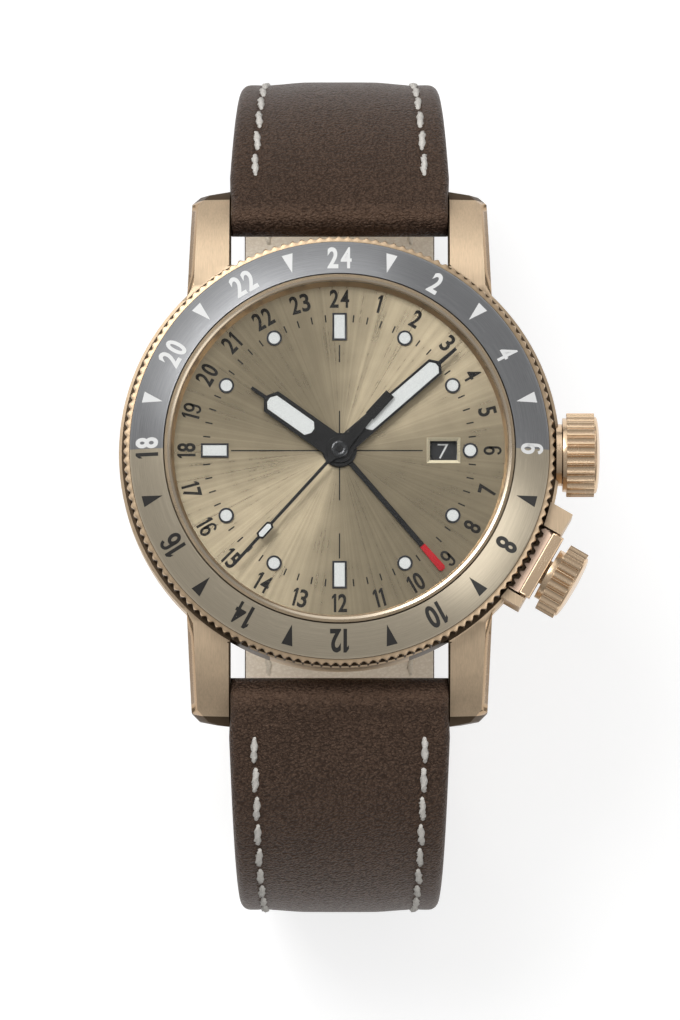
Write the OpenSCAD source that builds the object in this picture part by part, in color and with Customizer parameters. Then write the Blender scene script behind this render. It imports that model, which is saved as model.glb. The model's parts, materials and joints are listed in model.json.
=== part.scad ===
// Automatic wrist watch with a second time zone hand, a lockable 24 hour bezel and a leather strap.
// It lies face up on its own strap, which is closed under it in a loop.
// +Z is the way the dial faces, +Y is towards 24 on the dial, and +X is towards the winding crown.
// The origin is on the axis of the hands, on the surface that the strap rests on.
// Heights named on the dial side are counted from the top face of the dial.

/* [Stance] */
// Height of the dial above the surface the strap rests on
dial_height = 45; // [44:0.1:47]

/* [Case] */
// Outer diameter of the middle case
case_d = 44.7; // [44.4:0.1:45]
// Depth of the case shoulder under the bezel, below the dial
shoulder_drop = 2.55; // [2.5:0.01:2.65]
// Depth of the case's lower face, below the dial
case_drop = 8.2; // [8.1:0.05:8.4]
// Wall of the middle case, round the room for the movement and the dial
case_wall = 5.1; // [5:0.02:5.2]
// Wall of the case neck that holds the crystal
neck_wall = 0.35; // [0.3:0.01:0.4]
// Height of the case neck above the dial
neck_rise = 2.5; // [2.4:0.02:2.6]
// Wall of the wider part of the neck that the bezel turns on
track_wall = 1.6; // [1.5:0.02:1.7]
// Chamfer at the foot of the case
case_chamfer = 1.35; // [1.1:0.05:1.4]
// Depth of the internal thread that takes the back
back_thread_h = 1.0; // [0.8:0.05:1.1]
// Thickness of the back's flange
back_t = 0.75; // [0.7:0.01:0.8]
// Width of each of the back's key slots
key_slot_w = 2.4; // [2:0.1:3]
// Distance of the back's edge inside the case's wall
back_inset = 1.9; // [1.8:0.02:2.3]

/* [Lugs] */
// Distance between the lugs, which the strap fits
lug_gap = 22.1; // [21.8:0.05:22.4]
// Length of a lug beyond the strap bar
lug_tip = 2.65; // [2.5:0.02:2.8]
// Width of a lug at its root
lug_w = 4.35; // [4.1:0.05:4.6]
// How much a lug narrows towards its tip
lug_taper = 0.4; // [0.2:0.05:0.6]
// Depth of the lug tip, below the dial
lug_drop = 9.0; // [8.8:0.05:9.2]
// Distance of the strap bars from the case's wall
bar_gap = 2.4; // [2.38:0.01:2.5]
// Depth of the strap bars, below the dial
bar_drop = 5.8; // [5.7:0.02:5.9]
// Diameter of the strap bars
bar_d = 1.8; // [1.6:0.05:1.9]
// Diameter of the ends of the strap bars
bar_tip_d = 0.9; // [0.8:0.02:1.0]

/* [Bezel] */
// Distance of the bezel's teeth inside the case's wall
bezel_inset = 0.55; // [0.5:0.01:0.6]
// Number of teeth round the bezel
bezel_teeth = 144; // [144]
// Depth of the bezel teeth
tooth_depth = 0.35; // [0.3:0.01:0.36]
// Height of the bezel's toothed edge above the dial
edge_rise = 0.4; // [0.3:0.02:0.5]
// Width of the bezel's rim outside the insert
bezel_rim = 0.6; // [0.55:0.01:0.65]
// Thickness of the bezel insert
insert_t = 0.5; // [0.4:0.02:0.55]

/* [Crystal] */
// Thickness of the gasket round the crystal
crystal_seal = 0.3; // [0.26:0.01:0.34]
// Height of the crystal's lower face above the dial
crystal_rise = 1.75; // [1.7:0.01:1.8]
// Height of the crystal's edge
crystal_edge = 0.95; // [0.85:0.01:1.0]
// Rise of the crystal's dome over its edge
crystal_dome = 0.6; // [0.4:0.02:0.7]

/* [Winding crown] */
// Diameter of the winding crown
crown_d = 8.5; // [8.3:0.05:8.6]
// Depth of the crown's axis, below the dial
crown_drop = 4.2; // [4.18:0.01:4.22]
// Gap between the crown and the case's wall
crown_gap = 0.25; // [0.2:0.01:0.35]
// Length of the crown's knurled part
crown_l = 3.2; // [3:0.05:3.3]
// Rise of the crown's end cap
crown_cap = 0.6; // [0.4:0.05:0.8]
// Number of flutes round the crown
crown_flutes = 28; // [24:2:30]
// Diameter of the stem
stem_d = 0.9; // [0.8:0.02:0.92]
// Diameter of the crown's tube outside the case
tube_d = 3.8; // [3.6:0.05:3.9]
// Diameter of the crown's tube in the case's wall
tube_in_d = 2.6; // [2.4:0.05:2.7]

/* [Bezel lock] */
// Depth of the lock crown's axis, below the dial
lock_drop = 3.2; // [3.15:0.01:3.25]
// Angle of the lock crown below the winding crown
lock_angle = 30; // [30]
// Diameter of the lock crown
lock_d = 7.35; // [7.1:0.05:7.5]
// Distance of the lock crown's inner face from the guard
lock_gap = 1.35; // [1.3:0.01:1.4]
// Length of the lock crown's knurled part
lock_l = 2.05; // [1.9:0.05:2.2]
// Distance of the guard's outer face from the bezel
guard_l = 1.8; // [1.75:0.01:1.9]
// Height of the guard's top, below the dial
guard_drop = 1.0; // [0.9:0.05:1.2]
// Diameter of the lock crown's stem
lock_stem_d = 1.6; // [1.4:0.05:1.7]
// Thickness of the lock shoe
shoe_t = 1.0; // [0.94:0.01:1.04]
// Depth of the top of the lock shoe's bar, below the dial
shoe_bar_drop = 0.55; // [0.5:0.05:0.8]
// Depth of the guard's outer wall between its two blocks, below the dial
guard_wall_drop = 1.9; // [1.85:0.01:1.95]

/* [Dial] */
// Thickness of the dial
dial_t = 0.4; // [0.35:0.01:0.45]
// Width of the flange ring's foot on the dial
flange_w = 0.9; // [0.8:0.02:1]
// Distance of the hour dots from the axis of the hands
dot_x = 13.2; // [13:0.05:13.4]
// Diameter of the frame of an hour dot
dot_d = 1.56; // [1.4:0.02:1.6]
// Height of the markers above the dial
marker_h = 0.25; // [0.2:0.01:0.3]
// Width of the rim of a marker's frame
marker_rim = 0.19; // [0.14:0.01:0.22]
// Length of a bar marker
bar_marker_l = 2.8; // [2.6:0.05:3]
// Width of a bar marker
bar_marker_w = 1.45; // [1.35:0.02:1.55]
// Distance of the bar markers from the axis of the hands
bar_marker_x = 12.6; // [12.5:0.05:12.7]
// Distance of the date window from the axis of the hands
date_x = 10.5; // [10.4:0.02:10.6]
// Length of the date window
date_l = 2.74; // [2.5:0.02:2.8]
// Height of the date window
date_w = 1.95; // [1.8:0.02:2.1]

/* [Hands] */
// Distance of the minute hand's tip inside the flange ring
minute_short = 0.8; // [0.7:0.05:1.2]
// Width of the minute hand
minute_w = 1.97; // [1.8:0.02:2.1]
// Length of the hour hand
hour_l = 10.9; // [10.6:0.05:11.2]
// Width of the hour hand
hour_w = 2.5; // [2.3:0.02:2.6]
// Distance of the second time zone hand's tip inside the flange ring
zone_short = 0.4; // [0.3:0.05:0.8]
// Width of the second time zone hand
zone_w = 0.54; // [0.5:0.02:0.6]
// Distance of the seconds hand's tip inside the flange ring
second_short = 0.65; // [0.5:0.05:1.1]
// Thickness of a hand
hand_t = 0.15; // [0.12:0.01:0.18]
// Space from one hand to the next
hand_step = 0.35; // [0.32:0.01:0.36]
// Height of the lowest hand above the dial
hand_rise = 0.42; // [0.4:0.01:0.45]

/* [Movement] */
// Diameter of the movement
movement_d = 25.6; // [25.4:0.05:25.8]
// Thickness of the main plate
plate_t = 1.0; // [0.9:0.02:1.05]
// Depth of the main plate's dial side, below the dial
plate_drop = 1.9; // [1.85:0.01:1.95]
// Depth of the bridges' lower faces, below the dial
bridge_drop = 5.35; // [5.3:0.01:5.4]
// Thickness of the bridges
bridge_t = 0.7; // [0.6:0.02:0.72]
// Width of the wall that the bridges stand on
bridge_wall = 1.3; // [1.2:0.02:1.35]
// Diameter of the pivots
pivot_d = 0.24; // [0.2:0.01:0.26]
// Diameter of the jewels
jewel_d = 1.1; // [1:0.02:1.2]
// Distance of the barrel from the axis of the hands
barrel_x = 5.33; // [5.3:0.01:5.36]
// Distance of the third wheel from the axis of the hands
third_x = 3.96; // [3.94:0.01:4]
// Distance of the escape wheel from the axis of the hands
escape_x = 3.85; // [3.84:0.01:3.9]
// Diameter of the escape wheel
escape_d = 3.4; // [3.2:0.02:3.5]
// Diameter of the balance wheel
balance_d = 5.5; // [5.4:0.05:5.6]
// Thickness of the train wheels
wheel_t = 0.15; // [0.12:0.01:0.16]

/* [Calendar] */
// Wall of the main plate outside the date ring
date_wall = 1.0; // [0.95:0.01:1.05]
// Width of the date ring
date_ring_w = 2.5; // [2.45:0.01:2.55]

/* [Rotor] */
// Diameter of the rotor
rotor_d = 23.8; // [23.4:0.05:24.2]
// Width of the rotor's heavy rim
rotor_rim = 2.1; // [1.8:0.05:2.4]

/* [Strap] */
// Width of the strap at the lugs
strap_w = 21.8; // [21.4:0.05:21.85]
// How much narrower the strap is at its ends
strap_narrow = 1.8; // [1.4:0.05:2.3]
// Thickness of the strap at the lugs
strap_t = 4.4; // [4.2:0.02:4.5]
// Thickness of the strap at its ends
strap_end_t = 2.4; // [2.2:0.02:2.6]
// How far the upper strap half reaches out from its bar
out_12 = 16.05; // [15.6:0.05:16.5]
// How far the lower strap half reaches out from its bar
out_6 = 20.4; // [20:0.05:20.9]
// Length of the upper strap half, from bar to bar
length_12 = 75; // [74:0.5:76]
// Length of the lower strap half, from its bar to its tip
length_6 = 118; // [116:0.5:120]
// Slope of the upper strap half where it leaves its bar
leave_12 = 12; // [11:0.5:13]
// Slope of the lower strap half where it leaves its bar
leave_6 = 5; // [4:0.5:6]
// Clearance of the upper strap half above the lower one
strap_clear = 3.1; // [3:0.05:3.4]
// Slope of the buckle end, upwards into the loop
lift_12 = 15; // [14:0.5:16]
// Diameter of the holes in the strap
hole_d = 2.0; // [1.8:0.05:2.2]
// Distance from one hole to the next
hole_pitch = 6.5; // [6.3:0.05:6.6]
// Distance of the first hole from the strap's tip
hole_start = 24; // [23:0.5:25]

/* [Keepers] */
// Width of a keeper along the strap
keeper_w = 4.5; // [4:0.1:5]
// Thickness of a keeper's leather
keeper_t = 1.1; // [1:0.05:1.2]
// Distance of the fixed keeper from the buckle bar
keeper_fixed_s = 4.0; // [3.8:0.1:4.4]
// Distance of the sliding keeper from the buckle bar
keeper_free_s = 13.5; // [13.2:0.1:14]

/* [Buckle] */
// Diameter of the buckle's bar
buckle_bar_d = 1.5; // [1.4:0.02:1.6]
// Diameter of the rod of the buckle frame
buckle_rod = 1.8; // [1.6:0.05:2]
// Length of the buckle frame from its bar to its far side
buckle_l = 12; // [11:0.1:13]
// Width of the tongue
tongue_w = 1.9; // [1.7:0.05:2]
// Thickness of the tongue
tongue_t = 0.8; // [0.7:0.02:0.9]

/* [Hidden] */
$fn = 96;
round_fn = 48;
small_fn = 32;
eps = 0.01;
run_gap = 0.05;
side_gap = 0.15;
over = 1;

case_r = case_d / 2;
room_r = case_r - case_wall;
neck_r = room_r + 0.05;
neck_out_r = neck_r + neck_wall;
track_r = neck_r + track_wall;
track_top = 0.85;
bezel_gap = 0.1;
bezel_r = case_r - bezel_inset;
insert_r = bezel_r - bezel_rim;
crystal_r = neck_r - crystal_seal;
flange_r = neck_r - flange_w;
minute_l = flange_r - minute_short;
zone_l = flange_r - zone_short;
second_l = flange_r - second_short;
back_r = case_r - back_inset;
movement_r = movement_d / 2;
date_ring_r = movement_r - date_wall;
date_in_r = date_ring_r - date_ring_w;
crystal_top = crystal_rise + crystal_edge;
bar_z = dial_height - bar_drop;
bar_y = case_r + bar_gap;
lug_reach = bar_y + lug_tip;
lug_in = lug_gap / 2;
lug_out = lug_in + lug_w;
lug_start = 12;
lug_bend_l = 7.5;
lug_bend_y = bar_y - lug_bend_l;
lug_corner = 0.85;
lug_slant = 0.6;
shoulder_edge = 0.3;
lug_face_z = -lug_drop + 1.7;
bar_tip_l = 1.1;
crown_z = dial_height - crown_drop;
crown_r = crown_d / 2;
crown_x = case_r + crown_gap;
tube_r = tube_d / 2;
tube_flange_r = 3.15;
tube_flange_x = bezel_r + bezel_gap;
tube_in_r = tube_in_d / 2;
tube_out_l = 2.0;
stem_bore_l = 8;
crown_bore_r = tube_r + 0.1;
crown_bore_l = tube_out_l + 0.2;
gasket_r = tube_r + 0.5;
gasket_x = 0.7;
gasket_l = 0.6;
crown_foot = 0.4;
flute_depth = 0.3;
stem_seat = 0.2;
lock_r = lock_d / 2;
guard_x = bezel_r + guard_l;
lock_x = guard_x + lock_gap;
shoe_in = bezel_r + bezel_gap;
shoe_drop = 0.9;
lock_flutes = 24;
lock_neck_l = 0.65;
lock_neck_r = 2.75;
lock_cap = 0.5;
lock_boss_r = lock_drop - guard_wall_drop;
lock_boss_l = 0.65;
guard_wall = 0.55;
shoe_bar_gap = 0.25;
shoe_bar_seat = 0.1;
guard_in = -3.85;
guard_out = 3.55;
guard_wide = 2.4;
guard_thin = 1.05;
guard_foot = 6.6;
guard_root = 18;
pocket_foot = 5.2;
tooth_pitch = 360 / bezel_teeth;

plate_top = -plate_drop - plate_t;
bridge_low = -bridge_drop;
bridge_high = -bridge_drop - bridge_t;
pivot_r = pivot_d / 2;
jewel_r = jewel_d / 2;
wall_r = movement_r - bridge_wall;

barrel_a = 60;
third_a = 170;
escape_a = 300;
pallet_a = 250;
pallet_step = 2.2;
balance_a = 235;
balance_step = 3.0;
crown_wheel_x = 7.2;
winding_x = 8.6;
winding_l = 1.2;
winding_m = 0.135;
block_w = 1.8;
block_l = 0.8;
crown_hub_r = 0.5;
minute_a = 250;
transfer_a = 30;
date_drive_a = 100;

n_barrel = 72;
n_center_pinion = 10;
n_center = 64;
n_third_pinion = 8;
n_third = 60;
n_fourth_pinion = 8;
n_fourth = 70;
n_escape_pinion = 7;
n_escape = 20;
n_winding = 14;
n_crown_low = 24;
n_crown_high = 34;
n_ratchet = 50;
n_cannon = 12;
n_minute = 36;
n_minute_pinion = 10;
n_hour = 40;
n_hour_pinion = 28;
n_transfer = 40;
n_transfer_pinion = 20;
n_zone = 28;
n_date_drive = 80;
n_date = 31;

barrel_top = plate_top - 0.1;
barrel_h = 1.2;
barrel_low = barrel_top - barrel_h;
center_low = barrel_low - 0.1 - wheel_t;
third_low = center_low - 0.25 - wheel_t;
fourth_low = third_low - 0.15 - wheel_t;
escape_low = plate_top - 1.25;
balance_low = plate_top - 2.1;
balance_t = 0.3;
spoke_w = 0.32;
roller_r = 0.45;
hairspring_h = 0.12;
pivot_end = 0.1;
jewel_h = 0.6;
bridge_jewel_h = 0.5;
arbor_r = 0.6;
spring_low = balance_low - 0.2;
top_gear_high = bridge_high - run_gap;
top_gear_low = top_gear_high - 0.25;

// A point at an angle and a distance from the axis of the hands
function polar(a, d) = [d * cos(a), d * sin(a)];
barrel_p = polar(barrel_a, barrel_x);
third_p = polar(third_a, third_x);
escape_p = polar(escape_a, escape_x);
pallet_p = escape_p + polar(pallet_a, pallet_step);
balance_p = pallet_p + polar(balance_a, balance_step);
crown_wheel_p = [crown_wheel_x, 0];

// The module of a pair of gears, from the distance of their axes
function pair_module(d, n1, n2) = 2 * d / (n1 + n2);
// The turn that puts gear b in mesh with gear a, which lies at angle phi from b's side
function mesh(a_phase, n_a, phi, n_b) = phi + 180 + (180 - (a_phase - phi) * n_a) / n_b;
function angle_of(v) = atan2(v[1], v[0]);

m_barrel = pair_module(barrel_x, n_barrel, n_center_pinion);
m_center = pair_module(third_x, n_center, n_third_pinion);
m_third = pair_module(third_x, n_third, n_fourth_pinion);
m_fourth = pair_module(escape_x, n_fourth, n_escape_pinion);
m_ratchet = pair_module(norm(crown_wheel_p - barrel_p), n_crown_high, n_ratchet);
minute_x = 2.4;
transfer_x = 2.55;
m_cannon = pair_module(minute_x, n_cannon, n_minute);
m_minute = pair_module(minute_x, n_minute_pinion, n_hour);
m_transfer = pair_module(transfer_x, n_hour_pinion, n_transfer);
m_zone = pair_module(transfer_x, n_transfer_pinion, n_zone);
date_drive_x = m_minute * (n_hour + n_date_drive) / 2;
minute_p = polar(minute_a, minute_x);
transfer_p = polar(transfer_a, transfer_x);
date_drive_p = polar(date_drive_a, date_drive_x);

center_bore_r = pivot_r + run_gap;
center_tube_r = center_bore_r + 0.2;
hour_bore_r = center_tube_r + run_gap;
hour_tube_r = hour_bore_r + 0.22;
zone_bore_r = hour_tube_r + run_gap;
zone_tube_r = zone_bore_r + 0.22;

hour_hand_a = 144.6;
minute_hand_a = 41;
second_hand_a = -132.3;
zone_hand_a = -49.2;
zone_z = hand_rise;
hour_z = zone_z + hand_step;
minute_z = hour_z + hand_step;
second_z = minute_z + hand_step;
zone_hub_r = 1.75;
hour_hub_r = 1.7;
hour_rims = 0.84;
hour_blade = 3.3;
hour_stop = 8.78;
minute_hub_r = 1.35;
minute_rims = 0.5;
minute_blade = 3.4;
minute_stop = 13.05;
needle_w = 0.42;
second_needle_w = 0.32;
second_hub_r = 0.93;
second_arm_w = 1.4;
second_arm_l = 1.95;
lozenge_x = 11.15;
tail_l = 7.6;
tail_w = 1.06;
tail_block_l = 3.1;

mid_t = 3.6;
reach_12 = bar_y + out_12;
reach_6 = bar_y + out_6;
strap_turn_12 = (reach_12 - mid_t / 2 - bar_y) / (1 - sin(leave_12));
strap_turn_6 = (reach_6 - mid_t / 2 - bar_y) / (1 - sin(leave_6));
pad_l = 12;
thin_l = 50;
under_12 = strap_end_t + strap_clear + strap_end_t / 2;
foot_12 = bar_z - strap_turn_12 * cos(leave_12) - under_12;
foot_6 = bar_z - strap_turn_6 * cos(leave_6) - strap_end_t / 2;
arc_12 = strap_turn_12 * (90 - leave_12) * PI / 180;
bend_12 = foot_12 * (90 + lift_12) * PI / 180;
straight_12 = length_12 - arc_12 - bend_12;
arc_6 = strap_turn_6 * (90 - leave_6) * PI / 180;
bend_6 = foot_6 * PI / 2;
straight_6 = length_6 - arc_6 - bend_6;
steps = 16;
tip_l = 8;

strap_end_w = strap_w - strap_narrow;
tongue_gap = 0.4;
tongue_cut_out = 4;
tongue_cut_in = 2.2;
tongue_cut_h = 2.5 * strap_end_t;
keeper_room = strap_end_t + 0.2;
buckle_arm_x = strap_end_w / 2 + 0.3 + buckle_rod / 2;

// Shared shapes

module up(z) {
    translate([0, 0, dial_height + z]) children();
}

module disc(r, z0, z1) {
    up(min(z0, z1)) cylinder(h = abs(z1 - z0), r = r);
}

module ring(r_out, r_in, z0, z1) {
    difference() {
        disc(r_out, z0, z1);
        disc(r_in, min(z0, z1) - over, max(z0, z1) + over);
    }
}

// A shape that stands on the winding crown's axis, from x outwards
module crown_axis(x) {
    translate([x, 0, crown_z]) rotate([0, 90, 0]) children();
}

module at(p) {
    translate([p[0], p[1], 0]) children();
}

module sector(r, a0, a1) {
    mid = (a0 + a1) / 2;
    polygon([[0, 0], polar(a0, r), polar((a0 + mid) / 2, r * 1.1), polar(mid, r * 1.1),
        polar((a1 + mid) / 2, r * 1.1), polar(a1, r)]);
}

function gear_outline(n, m) = let (root = m * (n / 2 - 1.15), tip = m * (n / 2 + 0.85), p = 360 / n)
    [for (i = [0:n - 1]) for (c = [[-0.32, root], [-0.12, tip], [0.12, tip], [0.32, root]])
        polar((i + c[0]) * p, c[1])];

module gear(n, m, z0, z1, phase = 0, bore = 0) {
    up(min(z0, z1)) rotate(phase) linear_extrude(abs(z1 - z0)) difference() {
        polygon(gear_outline(n, m));
        if (bore > 0) circle(bore);
    }
}

module spoked_gear(n, m, z0, z1, phase, bore, hub, spokes) {
    rim = m * (n / 2 - 1.15) - 0.35;
    up(min(z0, z1)) rotate(phase) linear_extrude(abs(z1 - z0)) difference() {
        polygon(gear_outline(n, m));
        difference() {
            circle(rim);
            circle(hub);
            for (i = [0:spokes - 1]) rotate(360 * i / spokes) translate([0, -spoke_w / 2])
                square([rim + over, spoke_w]);
        }
        if (bore > 0) circle(bore);
    }
}

// The side outline of a strip that follows two bends and a straight, with its thickness given by its length
function strip_t(s) = s < pad_l ? strap_t : s > thin_l ? strap_end_t
    : strap_t - (strap_t - strap_end_t) * (s - pad_l) / (thin_l - pad_l);
function bend_points(c, r, h0, h1, s0) = [for (i = [0:steps]) let (h = h0 + (h1 - h0) * i / steps)
    [c[0] - r * sin(h), c[1] + r * cos(h), h, s0 + r * abs(h - h0) * PI / 180]];
function route(r1, r2, leave, last, run) = let (
        first = bend_points([bar_y - r1 * sin(leave), bar_z - r1 * cos(leave)], r1, -leave, -90, 0),
        a = first[steps],
        second = bend_points([a[0] - r2, a[1]], r2, -90, last, a[3]),
        b = second[steps])
    concat(first, [for (i = [1:steps]) second[i]],
        [[b[0] + run * cos(last), b[1] + run * sin(last), last, b[3] + run]]);
function side_outline(p) = concat(
    [for (q = p) [q[0] - sin(q[2]) * strip_t(q[3]) / 2, q[1] + cos(q[2]) * strip_t(q[3]) / 2]],
    [for (i = [len(p) - 1:-1:0]) let (q = p[i])
        [q[0] + sin(q[2]) * strip_t(q[3]) / 2, q[1] - cos(q[2]) * strip_t(q[3]) / 2]]);
route_12 = route(strap_turn_12, foot_12, leave_12, -180 - lift_12, straight_12);
route_6 = route(strap_turn_6, foot_6, leave_6, -180, straight_6);
end_12 = route_12[len(route_12) - 1];

module side_slab(w, points) {
    rotate([90, 0, 90]) translate([0, 0, -w / 2]) linear_extrude(w) polygon(points);
}

module cross_rod(y, z, r, l) {
    translate([-l / 2, y, z]) rotate([0, 90, 0]) cylinder(h = l, r = r, $fn = round_fn);
}

// Middle case with its lugs, and the guard of the bezel lock

module lug_side() {
    top = -shoulder_drop - 0.1;
    bend_r = 13.5;
    rotate([90, 0, 90]) linear_extrude(lug_w + 0.5) polygon(concat(
        [[lug_start, -case_drop + 0.4], [lug_start, top]],
        [for (y = [lug_bend_y:1.15:lug_reach - 0.5])
            [y, top - bend_r + sqrt(bend_r * bend_r - (y - lug_bend_y) * (y - lug_bend_y))]],
        [[lug_reach, lug_face_z], [lug_reach - 0.25, -lug_drop + 0.35], [lug_reach - 0.9, -lug_drop],
            [bar_y - 1.6, -lug_drop + 0.35], [lug_bend_y + 1, -case_drop]]));
}

module lug_plan() {
    side = lug_out - lug_taper;
    linear_extrude(3 * case_drop) polygon([[lug_in, lug_start], [lug_out + 1.1, lug_start],
        [lug_out + 0.05, lug_bend_y - 1.2], [side, lug_reach - lug_slant - lug_corner],
        [side - lug_corner, lug_reach - lug_slant], [lug_in, lug_reach + eps]]);
}

module lug() {
    difference() {
        intersection() {
            up(0) translate([lug_in, 0, 0]) lug_side();
            up(-2 * case_drop) lug_plan();
        }
        translate([lug_in - over, bar_y, bar_z]) rotate([0, 90, 0])
            cylinder(h = over + bar_tip_l, r = bar_tip_d / 2 + run_gap, $fn = round_fn);
    }
}

module all_lugs() {
    for (x = [0, 1]) mirror([x, 0, 0]) for (y = [0, 1]) mirror([0, y, 0]) lug();
}

module lock_frame() {
    up(-lock_drop) rotate([0, 0, -lock_angle]) children();
}

module lock_block(v0, v1, u0, u1, z0, z1) {
    lock_frame() translate([u0, -v1, z0 + lock_drop]) cube([u1 - u0, v1 - v0, z1 - z0]);
}

module case_turned() {
    low = -case_drop;
    up(0) rotate_extrude() polygon([
        [neck_r, neck_rise], [neck_out_r, neck_rise], [neck_out_r, track_top + 0.1], [track_r, track_top],
        [track_r, -shoulder_drop], [case_r - shoulder_edge, -shoulder_drop],
        [case_r, -shoulder_drop - shoulder_edge],
        [case_r, low + case_chamfer], [case_r - case_chamfer, low], [neck_r + 0.3, low],
        [neck_r + 0.3, low + back_thread_h], [neck_r, low + back_thread_h]]);
}

module lug_gap_cut() {
    intersection() {
        ring(case_r + over, bezel_r, -case_drop - over, 0);
        up(-case_drop - over) translate([-lug_in, -case_r - over, 0])
            cube([2 * lug_in, 2 * (case_r + over), case_drop + over]);
    }
}

module mid_case() {
    color([0.76, 0.66, 0.5]) difference() {
        union() {
            difference() {
                union() {
                    difference() {
                        case_turned();
                        lug_gap_cut();
                    }
                    all_lugs();
                    lock_block(guard_in - guard_wide, guard_out + guard_thin, guard_root, guard_x, -guard_foot,
                        -guard_drop);
                }
                ring(neck_r + eps, 0, -case_drop - 2, neck_rise + over);
                ring(shoe_in + 0.05, track_r, -shoulder_drop, edge_rise + 4);
                lock_block(guard_in, guard_out, shoe_in - 0.6, guard_x - guard_wall, -pocket_foot, edge_rise + 2);
                lock_block(guard_in, guard_out, guard_x - guard_wall - eps, guard_x + over, -guard_wall_drop,
                    edge_rise + 2);
            }
            lock_frame() translate([guard_x - 0.4, 0, 0]) rotate([0, 90, 0])
                cylinder(h = lock_boss_l + 0.4, r = lock_boss_r);
        }
        ring(neck_r + 0.3, 0, -case_drop - 2, -case_drop + back_thread_h);
        up(0) gasket_groove();
        lock_frame() translate([shoe_in, 0, 0]) rotate([0, 90, 0])
            cylinder(h = 5, r = lock_stem_d / 2 + run_gap, $fn = round_fn);
        crown_axis(room_r - over) cylinder(h = case_wall + over, r = tube_in_r, $fn = round_fn);
        crown_axis(tube_flange_x) cylinder(h = stem_bore_l, r = tube_flange_r, $fn = round_fn);
    }
}

groove_in = neck_r + 1.1;
groove_out = groove_in + 0.6;
groove_h = 0.35;
module gasket_groove() {
    translate([0, 0, -case_drop - eps]) difference() {
        cylinder(h = groove_h + eps, r = groove_out);
        translate([0, 0, -over]) cylinder(h = groove_h + 2 * over, r = groove_in);
    }
}

module case_back() {
    low = -case_drop - back_t;
    lip = -case_drop + back_thread_h - 0.1;
    color([0.72, 0.72, 0.73]) difference() {
        up(0) rotate_extrude() polygon([[0, low], [back_r - 0.5, low], [back_r, low + 0.35],
            [back_r, -case_drop], [neck_r + 0.2, -case_drop], [neck_r + 0.2, lip], [neck_r - 0.8, lip],
            [neck_r - 0.8, low + back_t], [0, low + back_t]]);
        for (a = [0:60:300]) rotate([0, 0, a + 30]) up(low - over)
            translate([back_r - 2.2, -key_slot_w / 2, 0]) cube([4, key_slot_w, over + 0.35]);
    }
}

module case_back_gasket() {
    top = -case_drop + groove_h - 0.02;
    color([0.08, 0.08, 0.08]) ring(groove_out - 0.05, groove_in + 0.05, -case_drop, top);
}

module crystal() {
    r = crystal_r - 0.15;
    color([0.85, 0.9, 0.92, 0.3]) up(0) rotate_extrude() polygon(concat(
        [[0, crystal_rise], [crystal_r, crystal_rise], [crystal_r, crystal_top - 0.15], [r, crystal_top]],
        [for (i = [9:-1:0]) [r * i / 10, crystal_top + crystal_dome * (1 - i * i / 100)]]));
}

module crystal_gasket() {
    color([0.9, 0.9, 0.88]) ring(neck_r, crystal_r, crystal_rise, crystal_top - 0.25);
}

module flange_ring() {
    color([0.66, 0.57, 0.44]) up(0) rotate_extrude() polygon([[flange_r, 0], [neck_r, 0],
        [neck_r, crystal_rise], [crystal_r - 0.1, crystal_rise]]);
}

module crown_tube() {
    color([0.7, 0.6, 0.46]) difference() {
        union() {
            crown_axis(room_r) cylinder(h = tube_flange_x - room_r + eps, r = tube_in_r, $fn = round_fn);
            crown_axis(tube_flange_x)
                cylinder(h = crown_x - tube_flange_x - run_gap, r = tube_flange_r, $fn = round_fn);
            crown_axis(tube_flange_x)
                cylinder(h = crown_x - tube_flange_x + tube_out_l, r = tube_r, $fn = round_fn);
        }
        crown_axis(room_r - over)
            cylinder(h = crown_x + tube_out_l - room_r + 2 * over, r = stem_d / 2 + 0.1, $fn = round_fn);
        ring(neck_r, 0, -case_drop, 0);
    }
}

// Bezel

module bezel_ring() {
    root = bezel_r - tooth_depth;
    top = edge_rise;
    outline = [for (i = [0:bezel_teeth - 1])
        for (c = [[-0.35, root], [-0.15, bezel_r], [0.15, bezel_r], [0.35, root]])
            polar((i + c[0]) * tooth_pitch, c[1])];
    color([0.78, 0.67, 0.52]) difference() {
        union() {
            up(-shoulder_drop + bezel_gap) linear_extrude(top + shoulder_drop - bezel_gap) polygon(outline);
            up(0) rotate_extrude() polygon([[neck_out_r + bezel_gap, 0], [insert_r + 0.2, 0],
                [insert_r + 0.2, top + 0.15], [insert_r, top + 0.15], [insert_r, top],
                [neck_out_r + bezel_gap, neck_rise - insert_t - 0.1]]);
        }
        disc(track_r + run_gap, -shoulder_drop - over, track_top + bezel_gap);
        disc(neck_out_r + bezel_gap, 0, neck_rise);
    }
}

module bezel_insert() {
    low = edge_rise;
    high = neck_rise - insert_t - 0.1;
    r = insert_r;
    r_in = neck_out_r + bezel_gap;
    color([0.55, 0.52, 0.47]) up(0) rotate_extrude() polygon([[r, low], [r, low + insert_t - 0.2],
        [r - 0.2, low + insert_t], [r_in, high + insert_t], [r_in, high]]);
}

// Winding crown, and the crown that locks the bezel

module fluted(r, l, n, depth) {
    difference() {
        cylinder(h = l, r = r);
        for (i = [0:n - 1]) rotate(360 * i / n) translate([r + depth * 0.6, 0, -over])
            cylinder(h = l + 2 * over, r = depth * 1.6, $fn = 16);
    }
}

module domed_cap(r, h) {
    rotate_extrude() polygon(concat([[0, 0], [r, 0], [r, h * 0.25]],
        [for (i = [1:8]) [r * cos(i * 90 / 8), h * (0.25 + 0.75 * sin(i * 90 / 8))]]));
}

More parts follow.
